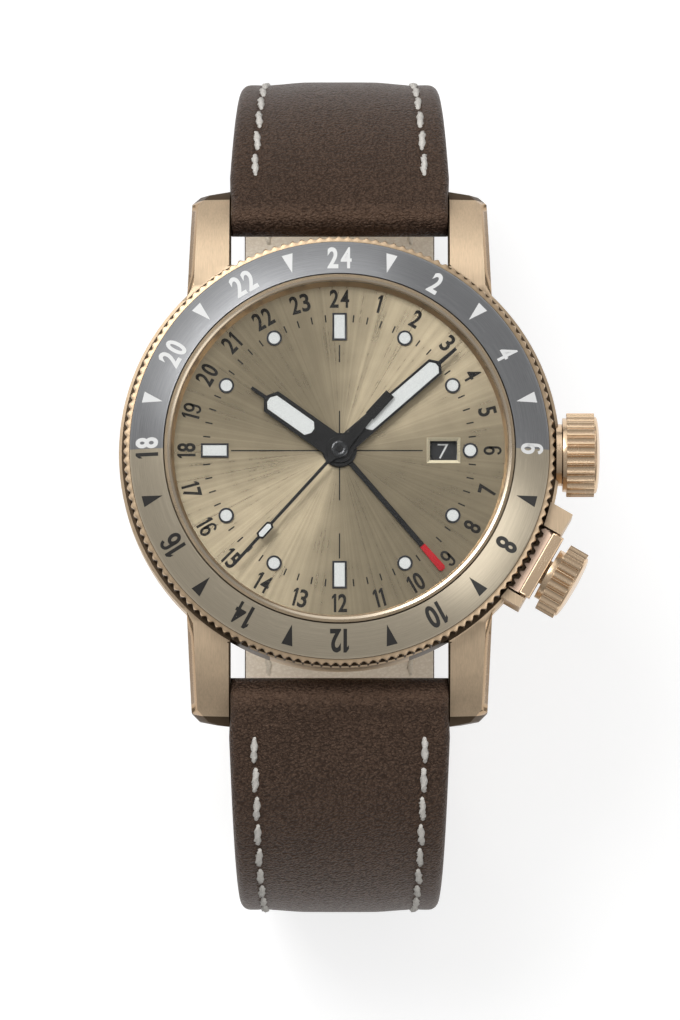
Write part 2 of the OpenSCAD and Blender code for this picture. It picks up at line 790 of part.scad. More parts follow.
module winding_crown() {
    color([0.74, 0.63, 0.49]) crown_axis(crown_x) difference() {
        union() {
            cylinder(h = crown_foot, r = crown_r - 0.5);
            translate([0, 0, crown_foot]) fluted(crown_r, crown_l - crown_foot, crown_flutes, flute_depth);
            translate([0, 0, crown_l]) domed_cap(crown_r - 0.35, crown_cap);
        }
        translate([0, 0, -over]) cylinder(h = over + crown_bore_l, r = crown_bore_r, $fn = round_fn);
        translate([0, 0, gasket_x]) cylinder(h = gasket_l, r = gasket_r, $fn = round_fn);
        translate([0, 0, -over]) cylinder(h = over + crown_l - stem_seat, r = stem_d / 2, $fn = round_fn);
    }
}

module crown_gasket() {
    color([0.08, 0.08, 0.08]) crown_axis(crown_x + gasket_x) difference() {
        cylinder(h = gasket_l, r = gasket_r, $fn = round_fn);
        translate([0, 0, -over]) cylinder(h = 3, r = tube_r + run_gap, $fn = round_fn);
    }
}

stem_x = 8.2;
module crown_stem() {
    color([0.6, 0.62, 0.66]) crown_axis(stem_x)
            cylinder(h = crown_x + crown_l - stem_seat - stem_x, r = stem_d / 2, $fn = round_fn);
}

module lock_crown() {
    color([0.74, 0.63, 0.49]) lock_frame() rotate([0, 90, 0]) union() {
        translate([0, 0, lock_x]) fluted(lock_r, lock_l, lock_flutes, flute_depth);
        translate([0, 0, lock_x + lock_l]) domed_cap(lock_r - 0.35, lock_cap);
        translate([0, 0, lock_x - lock_neck_l]) cylinder(h = lock_neck_l, r = lock_neck_r);
        translate([0, 0, shoe_in + 0.1]) cylinder(h = lock_x - shoe_in, r = lock_stem_d / 2, $fn = round_fn);
    }
}

module lock_shoe() {
    teeth_r = shoe_in + tooth_depth;
    half = 8;
    first = -lock_angle - half * tooth_pitch / 2;
    inner = [for (i = [0:half - 1])
        for (c = [[0.22, teeth_r], [0.42, shoe_in], [0.58, shoe_in], [0.78, teeth_r]])
            polar(first + (i + c[0]) * tooth_pitch, c[1])];
    out_u = shoe_in + shoe_t;
    bar_out = lock_x - lock_neck_l - shoe_bar_gap;
    back = [for (v = [3.35, 0, -3.65]) [out_u * cos(lock_angle) + v * sin(lock_angle),
        -out_u * sin(lock_angle) + v * cos(lock_angle)]];
    color([0.8, 0.7, 0.55]) difference() {
        union() {
            intersection() {
                union() {
                    up(-shoulder_drop + 0.15) linear_extrude(shoulder_drop - 0.75) polygon(concat(inner, back));
                    lock_block(guard_in + 0.2, guard_out - 0.2, shoe_in + tooth_depth, out_u, -pocket_foot + 0.2,
                        -shoe_drop);
                }
                lock_block(guard_in + 0.2, guard_out - 0.2, shoe_in - over, out_u, -case_drop, over);
            }
            lock_block(guard_in + 0.2, guard_out - 0.2, out_u - shoe_bar_seat, bar_out,
                -guard_wall_drop + shoe_bar_seat, -shoe_bar_drop);
        }
        lock_frame() translate([shoe_in - over, 0, 0]) rotate([0, 90, 0])
            cylinder(h = 4, r = lock_stem_d / 2 + run_gap, $fn = round_fn);
    }
}

// Dial

function hour_angles() = [for (i = [1:11]) if (i != 6 && i != 9) 90 - i * 30];
feet_a = [20, 200];
foot_r = 0.25;
foot_l = 2.2;
foot_in = 0.5;
window_rim = 0.33;
module dial() {
    color([0.68, 0.61, 0.5]) union() {
        difference() {
            disc(neck_r - run_gap, -dial_t, 0);
            up(-over) cylinder(h = 2 * over, r = zone_tube_r + 0.1, $fn = round_fn);
            up(-over) translate([date_x - date_l / 2, -date_w / 2, 0]) cube([date_l, date_w, 2 * over]);
        }
        for (a = feet_a) rotate([0, 0, a]) translate([movement_r - foot_in, 0, 0])
            up(-dial_t - foot_l) cylinder(h = foot_l, r = foot_r, $fn = small_fn);
    }
}

module bar_block(inset, h) {
    l = bar_marker_l - 2 * inset;
    w = bar_marker_w - 2 * inset;
    translate([bar_marker_x - l / 2, -w / 2, 0]) cube([l, w, h]);
}

module dial_markers() {
    color([0.16, 0.14, 0.12]) union() {
        for (a = hour_angles()) rotate([0, 0, a]) translate([dot_x, 0, 0]) up(0) difference() {
            cylinder(h = marker_h, r = dot_d / 2, $fn = small_fn);
            translate([0, 0, -over]) cylinder(h = 2 * over, r = dot_d / 2 - marker_rim, $fn = small_fn);
        }
        for (a = [90, 180, 270]) rotate([0, 0, a]) up(0) difference() {
            bar_block(0, marker_h);
            translate([0, 0, -over]) bar_block(marker_rim, 2 * over);
        }
        up(0) difference() {
            translate([date_x - date_l / 2 - window_rim, -date_w / 2 - window_rim, 0])
                cube([date_l + 2 * window_rim, date_w + 2 * window_rim, 0.15]);
            translate([date_x - date_l / 2, -date_w / 2, -over]) cube([date_l, date_w, 2 * over]);
        }
    }
}

module marker_lume() {
    color([0.93, 0.94, 0.9]) union() {
        for (a = hour_angles()) rotate([0, 0, a]) translate([dot_x, 0, 0]) up(0)
            cylinder(h = marker_h - 0.05, r = dot_d / 2 - marker_rim, $fn = small_fn);
        for (a = [90, 180, 270]) rotate([0, 0, a]) up(0) bar_block(marker_rim, marker_h - 0.05);
    }
}

// Hands

module hand(l, w, stop, tip, needle, z, bore, hub, lume_w, lume0, lume1) {
    up(z) linear_extrude(hand_t) difference() {
        union() {
            circle(hub);
            polygon([[0, -w / 2], [stop, -w / 2], [tip, -needle / 2], [l, -needle * 0.4], [l, needle * 0.4],
                [tip, needle / 2], [stop, w / 2], [0, w / 2]]);
        }
        circle(bore);
        if (lume_w > 0) lume_outline(lume_w, lume0, lume1);
    }
}

module lume_outline(w, r0, r1) {
    cut = w * 0.27;
    flat = w * 0.16;
    polygon([[r0, -flat], [r0 + cut, -w / 2], [r1 - cut, -w / 2], [r1, -flat], [r1, flat],
        [r1 - cut, w / 2], [r0 + cut, w / 2], [r0, flat]]);
}

module zone_hand() {
    color([0.12, 0.11, 0.1]) rotate([0, 0, zone_hand_a])
        hand(zone_l, zone_w, zone_l - 0.6, zone_l - 0.3, zone_w * 0.8, zone_z, zone_tube_r, zone_hub_r, 0, 0, 0);
}

module hour_hand() {
    color([0.12, 0.11, 0.1]) rotate([0, 0, hour_hand_a])
        hand(hour_l, hour_w, hour_stop - 0.28, hour_stop + 0.42, needle_w, hour_z, hour_tube_r, hour_hub_r,
            hour_w - hour_rims, hour_blade, hour_stop);
}

module hour_lume() {
    color([0.93, 0.94, 0.9]) rotate([0, 0, hour_hand_a]) up(hour_z)
        linear_extrude(hand_t - 0.03) lume_outline(hour_w - hour_rims, hour_blade, hour_stop);
}

module minute_hand() {
    color([0.12, 0.11, 0.1]) rotate([0, 0, minute_hand_a])
        hand(minute_l, minute_w, minute_stop - 0.22, minute_stop + 0.36, needle_w, minute_z, center_tube_r,
            minute_hub_r, minute_w - minute_rims, minute_blade, minute_stop);
}

module minute_lume() {
    color([0.93, 0.94, 0.9]) rotate([0, 0, minute_hand_a]) up(minute_z)
        linear_extrude(hand_t - 0.03) lume_outline(minute_w - minute_rims, minute_blade, minute_stop);
}

module second_hand() {
    color([0.12, 0.11, 0.1]) rotate([0, 0, second_hand_a]) up(second_z) union() {
        linear_extrude(hand_t) difference() {
            union() {
                circle(second_hub_r);
                translate([-tail_l, -second_needle_w / 2]) square([tail_l + second_l, second_needle_w]);
                polygon([[tail_block_l - tail_l, -tail_w * 0.38], [0, -second_arm_w / 2],
                    [second_arm_l, -second_needle_w / 2], [second_arm_l, second_needle_w / 2],
                    [0, second_arm_w / 2], [tail_block_l - tail_l, tail_w * 0.38]]);
                translate([lozenge_x, 0])
                    polygon([[-1.05, 0], [-0.8, -0.45], [0.8, -0.45], [1.05, 0], [0.8, 0.45], [-0.8, 0.45]]);
                translate([-tail_l, -tail_w / 2]) square([tail_block_l, tail_w]);
            }
            circle(pivot_r);
        }
        translate([0, 0, hand_t]) cylinder(h = 0.08, r = 0.3, $fn = small_fn);
    }
}

// Movement, dial side

module center_wheel() {
    color([0.82, 0.68, 0.38]) difference() {
        union() {
            spoked_gear(n_center, m_center, center_low, center_low + wheel_t, 0, 0, 0.9, 5);
            gear(n_center_pinion, m_barrel, center_low + wheel_t - eps, plate_top - 0.15);
            disc(center_tube_r, plate_top - 0.2, minute_z + hand_t);
            gear(n_cannon, m_cannon, -plate_drop + 0.05, -plate_drop + 0.35);
        }
        disc(center_bore_r, center_low - over, minute_z + over);
    }
}

minute_wheel_z = -plate_drop + 0.08;
hour_wheel_z = -plate_drop + 0.42;
transfer_z = hour_wheel_z + 0.25;
zone_wheel_z = transfer_z + 0.2;
minute_phase = mesh(0, n_cannon, minute_a, n_minute);
module minute_wheel() {
    color([0.82, 0.68, 0.38]) at(minute_p) union() {
        gear(n_minute, m_cannon, minute_wheel_z, minute_wheel_z + 0.2, minute_phase);
        gear(n_minute_pinion, m_minute, minute_wheel_z + 0.2 - eps, hour_wheel_z + 0.2, minute_phase);
        disc(pivot_r, -plate_drop - 0.6, minute_wheel_z + 0.1);
    }
}

hour_phase = mesh(minute_phase, n_minute_pinion, minute_a + 180, n_hour);
module hour_wheel() {
    color([0.82, 0.68, 0.38]) difference() {
        union() {
            gear(n_hour, m_minute, hour_wheel_z, hour_wheel_z + 0.15, hour_phase);
            gear(n_hour_pinion, m_transfer, hour_wheel_z + 0.15 - eps, transfer_z + 0.15, 0);
            disc(hour_tube_r, hour_wheel_z, hour_z + hand_t);
        }
        disc(hour_bore_r, -plate_drop, hour_z + over);
    }
}

transfer_phase = mesh(0, n_hour_pinion, transfer_a, n_transfer);
module transfer_wheel() {
    color([0.82, 0.68, 0.38]) at(transfer_p) union() {
        gear(n_transfer, m_transfer, transfer_z, transfer_z + 0.12, transfer_phase);
        gear(n_transfer_pinion, m_zone, transfer_z + 0.12 - eps, zone_wheel_z + 0.15, transfer_phase);
        disc(pivot_r, -plate_drop - 0.6, transfer_z + 0.05);
    }
}

zone_phase = mesh(transfer_phase, n_transfer_pinion, transfer_a + 180, n_zone);
module zone_wheel() {
    color([0.82, 0.68, 0.38]) difference() {
        union() {
            gear(n_zone, m_zone, zone_wheel_z, zone_wheel_z + 0.15, zone_phase);
            disc(zone_tube_r, zone_wheel_z, zone_z + hand_t);
        }
        disc(zone_bore_r, -plate_drop, zone_z + over);
    }
}

date_drive_phase = mesh(hour_phase, n_hour, date_drive_a, n_date_drive);
date_ring_z = -0.95;
module date_drive_wheel() {
    finger = date_in_r - 0.4 - date_drive_x - 0.1;
    color([0.82, 0.68, 0.38]) at(date_drive_p) union() {
        gear(n_date_drive, m_minute, hour_wheel_z, hour_wheel_z + 0.15, date_drive_phase);
        disc(0.9, hour_wheel_z + 0.15 - eps, date_ring_z + 0.2);
        up(date_ring_z) translate([0, -0.15, 0]) cube([finger, 0.3, 0.2]);
        disc(pivot_r, -plate_drop - 0.6, hour_wheel_z + 0.05);
    }
}

module date_ring() {
    r0 = date_in_r;
    tips = [for (i = [0:n_date - 1]) for (c = [[-0.35, r0], [-0.1, r0 - 0.4], [0.1, r0 - 0.4], [0.35, r0]])
        polar((i + c[0]) * 360 / n_date, c[1])];
    color([0.1, 0.1, 0.1]) up(date_ring_z) linear_extrude(0.25) difference() {
        circle(date_ring_r);
        polygon(tips);
    }
}

// Movement, plates and bridges

module pivots(list, z0, z1, r) {
    for (p = list) at(p) disc(r, z0, z1);
}

train_list = [third_p, escape_p, pallet_p, balance_p];
dial_list = [minute_p, transfer_p, date_drive_p];

module main_plate() {
    color([0.78, 0.78, 0.8]) difference() {
        union() {
            disc(movement_r, plate_top, -plate_drop);
            ring(movement_r, date_ring_r + side_gap, -plate_drop - eps, -dial_t);
            translate([winding_x + winding_l + side_gap, -block_w / 2, crown_z - block_w / 2])
                cube([block_l, block_w, plate_top + crown_drop + block_w / 2 + eps]);
            intersection() {
                ring(date_ring_r - 0.3, date_in_r + 0.4, -plate_drop - eps, date_ring_z - run_gap);
                for (a = [45:90:315]) rotate([0, 0, a])
                    translate([date_in_r - over, -2, -3]) cube([5, 4, 4]);
            }
        }
        disc(center_tube_r + run_gap, plate_top - over, 0);
        pivots(train_list, plate_top - over, -plate_drop + over, jewel_r);
        pivots(dial_list, plate_top - over, 0, pivot_r + run_gap);
        at(barrel_p) disc(arbor_r + run_gap, plate_top - over, 0);
        for (a = feet_a) rotate([0, 0, a]) translate([movement_r - foot_in, 0, 0])
            disc(foot_r + run_gap, plate_top - over, 0);
        crown_axis(stem_x) cylinder(h = stem_bore_l, r = stem_d / 2 + run_gap, $fn = round_fn);
    }
}

module winding_pinion() {
    color([0.6, 0.62, 0.66]) crown_axis(winding_x) linear_extrude(winding_l) difference() {
        rotate(90) polygon(gear_outline(n_winding, winding_m));
        circle(stem_d / 2 + run_gap);
    }
}

crown_low_r = winding_x + winding_l / 2 - crown_wheel_x;
crown_face = -crown_drop + winding_m * (n_winding / 2 + 0.85) - 0.04;
crown_disc_t = 0.2;
slot_w = 0.26;
module crown_wheel() {
    color([0.6, 0.62, 0.66]) at(crown_wheel_p) difference() {
        union() {
            disc(crown_low_r + 0.2, crown_face, crown_face + crown_disc_t);
            disc(crown_hub_r, top_gear_high, crown_face + crown_disc_t - eps);
            gear(n_crown_high, m_ratchet, top_gear_low, top_gear_high);
        }
        for (i = [0:n_crown_low - 1]) rotate(360 * i / n_crown_low) up(crown_face - over)
            translate([crown_low_r - 0.5, -slot_w / 2, 0]) cube([1, slot_w, over + crown_disc_t * 0.6]);
    }
}

ratchet_phase = mesh(0, n_crown_high, angle_of(barrel_p - crown_wheel_p), n_ratchet);
module ratchet_wheel() {
    color([0.7, 0.7, 0.72]) at(barrel_p) union() {
        gear(n_ratchet, m_ratchet, top_gear_low, top_gear_high, ratchet_phase);
        disc(arbor_r, top_gear_high - eps, plate_top + jewel_h);
        disc(1.1, barrel_low + 0.2, barrel_top - 0.2);
    }
}

barrel_r = 4.2;
barrel_phase = mesh(0, n_center_pinion, barrel_a, n_barrel);
module barrel() {
    color([0.82, 0.68, 0.38]) at(barrel_p) difference() {
        union() {
            gear(n_barrel, m_barrel, barrel_top - 0.65, barrel_top - 0.3, barrel_phase);
            disc(barrel_r, barrel_low, barrel_top);
        }
        disc(arbor_r + run_gap, barrel_low - over, barrel_top + over);
        disc(barrel_r - 0.25, barrel_low + 0.15, barrel_top - 0.15);
    }
}

// A flat spiral strip, from radius r0 to r1
function spiral_points(r0, r1, turns, t) = let (n = turns * 20) concat(
    [for (i = [0:n]) polar(i * 18, r0 + (r1 - r0) * i / n)],
    [for (i = [n:-1:0]) polar(i * 18, r0 + t + (r1 - r0) * i / n)]);

module mainspring() {
    color([0.5, 0.55, 0.62]) at(barrel_p) up(barrel_low + 0.22) linear_extrude(barrel_h - 0.44)
        polygon(spiral_points(1.2, barrel_r - 0.5, 7, 0.14));
}

third_phase = mesh(0, n_center, third_a, n_third_pinion);
module third_wheel() {
    color([0.82, 0.68, 0.38]) at(third_p) union() {
        gear(n_third_pinion, m_center, third_low + wheel_t - eps, center_low + wheel_t + 0.1, third_phase);
        spoked_gear(n_third, m_third, third_low, third_low + wheel_t, third_phase, 0, 0.6, 4);
        disc(pivot_r, bridge_high + pivot_end, plate_top + jewel_h);
    }
}

fourth_phase = mesh(third_phase, n_third, third_a + 180, n_fourth_pinion);
module fourth_wheel() {
    color([0.82, 0.68, 0.38]) union() {
        gear(n_fourth_pinion, m_third, fourth_low + wheel_t - eps, third_low + wheel_t + 0.05, fourth_phase);
        spoked_gear(n_fourth, m_fourth, fourth_low, fourth_low + wheel_t, fourth_phase, 0, 0.7, 4);
        disc(pivot_r, bridge_high + 0.1, second_z + hand_t);
    }
}

escape_phase = mesh(fourth_phase, n_fourth, escape_a, n_escape_pinion);
module escape_wheel() {
    r = escape_d / 2;
    points = [for (i = [0:n_escape - 1]) for (c = [[0, r - 0.45], [0.35, r], [0.5, r], [0.55, r - 0.45]])
        polar((i + c[0]) * 360 / n_escape, c[1])];
    color([0.7, 0.7, 0.74]) at(escape_p) union() {
        up(escape_low) linear_extrude(wheel_t) difference() {
            polygon(points);
            difference() {
                circle(r - 0.7);
                circle(0.45);
                for (a = [0:90:270]) rotate(a) translate([0, -0.1]) square([r, 0.2]);
            }
        }
        gear(n_escape_pinion, m_fourth, fourth_low - 0.02, escape_low + eps, escape_phase);
        disc(pivot_r, bridge_high + pivot_end, plate_top + jewel_h);
    }
}

module pallet_fork() {
    toward = angle_of(escape_p - pallet_p);
    out = balance_a;
    color([0.7, 0.7, 0.74]) at(pallet_p) union() {
        up(escape_low) linear_extrude(wheel_t) union() {
            circle(0.28);
            rotate(out) translate([0, -0.1]) square([balance_step - roller_r - 0.3, 0.2]);
            for (s = [-1, 1]) rotate(toward + s * 56) translate([0, -0.09]) square([0.95, 0.18]);
        }
        disc(pivot_r, bridge_high + pivot_end, plate_top + jewel_h);
    }
}

module balance_wheel() {
    r = balance_d / 2;
    color([0.85, 0.72, 0.42]) at(balance_p) union() {
        up(balance_low) linear_extrude(balance_t) difference() {
            circle(r);
            difference() {
                circle(r - 0.4);
                circle(0.5);
                for (a = [0:120:240]) rotate(a) translate([0, -0.2]) square([r - 0.2, 0.4]);
            }
        }
        disc(roller_r, escape_low, escape_low + wheel_t);
        disc(pivot_r, bridge_high + pivot_end, plate_top + jewel_h);
    }
}

module hairspring() {
    color([0.35, 0.42, 0.6]) at(balance_p) up(spring_low) linear_extrude(hairspring_h)
        polygon(spiral_points(pivot_r, 2.3, 9, 0.06));
}

bridge_a0 = -22;
bridge_a1 = 128;
module bridge_shape() {
    difference() {
        intersection() {
            circle(movement_r - 0.05);
            sector(movement_r * 1.2, bridge_a0, bridge_a1);
        }
        circle(bridge_hub_r + 0.2);
    }
}

module barrel_bridge() {
    color([0.78, 0.78, 0.8]) difference() {
        union() {
            up(bridge_high) linear_extrude(bridge_t) bridge_shape();
            intersection() {
                up(bridge_low - eps) linear_extrude(plate_top - bridge_low + eps) bridge_shape();
                ring(movement_r, wall_r, bridge_low - eps, plate_top);
            }
        }
        at(crown_wheel_p) disc(crown_hub_r + run_gap, bridge_high - over, bridge_low + over);
        at(barrel_p) disc(arbor_r + run_gap, bridge_high - over, bridge_low + over);
        crown_axis(stem_x) cylinder(h = stem_bore_l, r = stem_d / 2 + 0.1, $fn = round_fn);
        screw_holes();
    }
}

bridge_hub_r = 2.2;
arm_w = 2.2;
escape_eye_r = 1.2;
pallet_eye_r = 0.9;
finger_w = 1.4;
cock_eye_r = 1.3;
cock_w = 2;
module train_shape() {
    intersection() {
        circle(movement_r - 0.05);
        sector(movement_r * 1.2, bridge_a1 + 3, 232);
    }
    circle(bridge_hub_r);
    rotate(escape_a) translate([0, -arm_w / 2]) square([escape_x, arm_w]);
    translate(escape_p) circle(escape_eye_r);
    translate(pallet_p) circle(pallet_eye_r);
    translate(escape_p) rotate(pallet_a) translate([0, -finger_w / 2]) square([pallet_step, finger_w]);
}

module train_bridge() {
    color([0.78, 0.78, 0.8]) difference() {
        union() {
            up(bridge_high) linear_extrude(bridge_t) train_shape();
            intersection() {
                up(bridge_low - eps) linear_extrude(plate_top - bridge_low + eps) train_shape();
                ring(movement_r, wall_r, bridge_low - eps, plate_top);
            }
        }
        pivots([[0, 0], third_p, escape_p, pallet_p], bridge_high - over, bridge_low + over, jewel_r);
        screw_holes();
    }
}

cock_a0 = 236;
cock_a1 = 250;
module balance_cock() {
    color([0.78, 0.78, 0.8]) difference() {
        union() {
            up(bridge_high) linear_extrude(bridge_t) union() {
                intersection() {
                    circle(movement_r - 0.05);
                    sector(movement_r * 1.2, cock_a0, cock_a1);
                    difference() {
                        circle(movement_r);
                        circle(wall_r - 1);
                    }
                }
                translate(balance_p) circle(cock_eye_r);
                translate(balance_p) rotate(cock_arm_a)
                    translate([0, -cock_w / 2]) square([cock_arm_l, cock_w]);
            }
            intersection() {
                up(bridge_low - eps) linear_extrude(plate_top - bridge_low + eps)
                    sector(movement_r * 1.2, cock_a0, cock_a1);
                ring(movement_r - 0.05, wall_r, bridge_low - eps, plate_top);
            }
        }
        at(balance_p) disc(jewel_r, bridge_high - over, bridge_low + over);
        screw_holes();
    }
}
cock_foot = polar((cock_a0 + cock_a1) / 2, wall_r);
cock_arm_a = angle_of(cock_foot - balance_p);
cock_arm_l = norm(cock_foot - balance_p);

screw_r = 0.4;
screw_x = wall_r + bridge_wall / 2;
screw_a = [15, 60, 105, 145, 185, 220, 243];
module screw_holes() {
    for (a = screw_a) rotate([0, 0, a]) translate([screw_x, 0, 0])
        disc(screw_r, bridge_high - over, plate_top + over);
}

module bridge_screws() {
    color([0.35, 0.45, 0.7]) for (a = screw_a) rotate([0, 0, a]) translate([screw_x, 0, 0]) difference() {
        union() {
            disc(screw_r, bridge_high - eps, plate_top);
            disc(0.62, bridge_high - 0.25, bridge_high);
        }
        up(bridge_high - 0.25 - over) translate([-1, -0.08, 0]) cube([2, 0.16, over + 0.12]);
    }
}

module jewel(z0, z1) {
    ring(jewel_r, pivot_r + run_gap, z0, z1);
}

module jewels() {
    color([0.75, 0.1, 0.25]) {
        for (p = train_list) at(p) {
            jewel(plate_top, plate_top + jewel_h);
            jewel(bridge_high, bridge_high + bridge_jewel_h);
        }
        jewel(bridge_high, bridge_high + bridge_jewel_h);
    }
}

ring_drop = 5.4;
module movement_ring() {
    color([0.8, 0.8, 0.78]) difference() {
        ring(room_r, movement_r + run_gap, -ring_drop, -dial_t);
        crown_axis(movement_r - over)
            cylinder(h = room_r - movement_r + 2 * over, r = stem_d / 2 + 0.1, $fn = round_fn);
    }
}

// Rotor

post_r = 1.2;
rotor_high = -6.6;
rotor_low = rotor_high - 0.35;
module rotor_bearing() {
    color([0.7, 0.7, 0.72]) union() {
        disc(post_r, bridge_high, rotor_low - 0.3);
        disc(post_r + 0.7, rotor_low - 0.25, rotor_low - 0.05);
    }
}

module rotor() {
    r = rotor_d / 2;
    color([0.8, 0.66, 0.4]) difference() {
        union() {
            up(rotor_low) linear_extrude(rotor_high - rotor_low) intersection() {
                circle(r);
                union() {
                    translate([-r, 0]) square([2 * r, r]);
                    circle(2.6);
                }
            }
            up(rotor_low - 0.4) linear_extrude(0.5) intersection() {
                difference() {
                    circle(r);
                    circle(r - rotor_rim);
                }
                translate([-r, 0.8]) square([2 * r, r]);
            }
        }
        disc(post_r + run_gap, rotor_low - over, rotor_high + over);
    }
}

// Strap

module spring_bars() {
    color([0.7, 0.7, 0.72]) for (s = [-1, 1]) {
        cross_rod(s * bar_y, bar_z, bar_d / 2, lug_gap - 2 * side_gap);
        cross_rod(s * bar_y, bar_z, bar_tip_d / 2, lug_gap + 2 * bar_tip_l - 0.2);
    }
}

// The plan of a strap half: wide at the lugs and narrow past its outermost point
module strap_plan(reach, end_y, low, high, w0, w1) {
    translate([0, 0, low]) linear_extrude(high - low) polygon([[-w0 / 2, end_y], [w0 / 2, end_y],
        [w1 / 2, reach + 1], [-w1 / 2, reach + 1]]);
}

turn_w = strap_w - strap_narrow / 2;
module strap_body(points, reach, turn_z, back_y) {
    intersection() {
        side_slab(strap_w, points);
        union() {
            strap_plan(reach, bar_y - 3, turn_z, bar_z + 8, strap_w, turn_w);
            strap_plan(reach, back_y, -2, turn_z, strap_end_w, turn_w);
            translate([-strap_end_w / 2, -2 * bar_y, -2])
                cube([strap_end_w, 2 * bar_y + back_y + eps, turn_z + 2]);
        }
    }
}

module strap_12() {
    end_y = end_12[0];
    end_z = end_12[1];
    color([0.2, 0.17, 0.14]) difference() {
        union() {
            strap_body(side_outline(route_12), reach_12, bar_z - strap_turn_12 * cos(leave_12), bar_y);
            cross_rod(bar_y, bar_z, strap_t / 2, strap_w);
            cross_rod(end_y, end_z, strap_end_t / 2, strap_end_w);
        }
        cross_rod(bar_y, bar_z, bar_d / 2 + run_gap, strap_w + 2);
        cross_rod(end_y, end_z, buckle_bar_d / 2 + run_gap, strap_w + 2);
        translate([-tongue_w / 2 - tongue_gap, end_y - tongue_cut_out, end_z - tongue_cut_h / 2])
            cube([tongue_w + 2 * tongue_gap, tongue_cut_out + tongue_cut_in, tongue_cut_h]);
    }
}

module strap_6() {
    tip_y = -(route_6[len(route_6) - 1][0]);
    color([0.2, 0.17, 0.14]) difference() {
        mirror([0, 1, 0]) union() {
            strap_body(side_outline(route_6), reach_6, bar_z - strap_turn_6 * cos(leave_6), bar_y);
            cross_rod(bar_y, bar_z, strap_t / 2, strap_w);
        }
        cross_rod(-bar_y, bar_z, bar_d / 2 + run_gap, strap_w + 2);
        for (i = [0:5]) translate([0, tip_y - hole_start - hole_pitch * i, -over])
            cylinder(h = strap_end_t + 2 * over, r = hole_d / 2, $fn = round_fn);
        for (x = [0, 1]) mirror([x, 0, 0]) translate([strap_end_w / 2, tip_y + eps, -over])
            linear_extrude(strap_end_t + 2 * over) polygon([[over, over], [-strap_end_w * 0.32, over],
                [-strap_end_w * 0.32, 0], [-strap_end_w * 0.1, -0.4 * tip_l], [0, -tip_l], [over, -tip_l]]);
    }
}

// The frame of the buckle end: its bar is the origin, +Y runs towards the strap and +Z into the loop
module buckle_end() {
    translate([0, end_12[0], end_12[1]]) rotate([-lift_12, 0, 0]) children();
}

module keeper(s) {
    wide = strap_end_w / 2 + 0.15;
    high = strap_end_t / 2 + side_gap;
    low = -strap_end_t / 2 - side_gap - keeper_room;
    buckle_end() translate([0, s, 0]) difference() {
        translate([-wide - keeper_t, 0, low - keeper_t])
            cube([2 * (wide + keeper_t), keeper_w, high - low + 2 * keeper_t]);
        translate([-wide, -over, low]) cube([2 * wide, keeper_w + 2 * over, high - low]);
    }
}

module fixed_keeper() {
    color([0.2, 0.17, 0.14]) keeper(keeper_fixed_s);
}

module sliding_keeper() {
    color([0.2, 0.17, 0.14]) keeper(keeper_free_s);
}

module buckle_frame() {
    r = buckle_rod / 2;
    color([0.74, 0.63, 0.49]) buckle_end() difference() {
        union() {
            for (s = [-1, 1]) translate([s * buckle_arm_x, 0, 0]) rotate([90, 0, 0]) union() {
                cylinder(h = buckle_l, r = r, $fn = round_fn);
                sphere(r, $fn = round_fn);
                translate([0, 0, buckle_l]) sphere(r, $fn = round_fn);
            }
            cross_rod(-buckle_l, 0, r, 2 * buckle_arm_x);
        }
        cross_rod(0, 0, buckle_bar_d / 4 + run_gap, 2 * buckle_arm_x + 4);
    }
}

module buckle_bar() {
    color([0.7, 0.7, 0.72]) buckle_end() union() {
        cross_rod(0, 0, buckle_bar_d / 2, 2 * buckle_arm_x - buckle_rod - 0.3);
        cross_rod(0, 0, buckle_bar_d / 4, 2 * buckle_arm_x);
    }
}

module buckle_tongue() {
    r = buckle_rod / 2;
    z = -r - side_gap;
    color([0.74, 0.63, 0.49]) buckle_end() difference() {
        union() {
            cross_rod(0, 0, buckle_bar_d / 2 + 0.55, tongue_w);
            translate([-tongue_w / 2, 0, 0]) rotate([90, 0, 90]) linear_extrude(tongue_w) polygon([
                [0, -buckle_bar_d / 2 - 0.55], [-buckle_l + 3, z - tongue_t], [-buckle_l - r, z - tongue_t],
                [-buckle_l - r, z], [-buckle_l + 3, z], [-1.2, z + tongue_t], [0, 0]]);
        }
        cross_rod(0, 0, buckle_bar_d / 2 + run_gap, tongue_w + 2);
    }
}

mid_case();
case_back();
case_back_gasket();
crystal();
crystal_gasket();
flange_ring();
crown_tube();
dial();
dial_markers();
marker_lume();
movement_ring();
main_plate();
barrel_bridge();
train_bridge();
balance_cock();
bridge_screws();
jewels();
rotor_bearing();
spring_bars();
bezel_ring();
bezel_insert();
winding_crown();
crown_stem();
crown_gasket();
winding_pinion();
crown_wheel();
ratchet_wheel();
lock_crown();
lock_shoe();
barrel();
mainspring();
center_wheel();
minute_hand();
minute_lume();
third_wheel();
fourth_wheel();
second_hand();
escape_wheel();
pallet_fork();
balance_wheel();
hairspring();
minute_wheel();
hour_wheel();
hour_hand();
hour_lume();
zone_wheel();
zone_hand();
transfer_wheel();
date_ring();
date_drive_wheel();
rotor();
strap_12();
strap_6();
fixed_keeper();
sliding_keeper();
buckle_frame();
buckle_bar();
buckle_tongue();
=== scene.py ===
import json
import math
import random

import bmesh
import bpy
from mathutils import Matrix, Vector


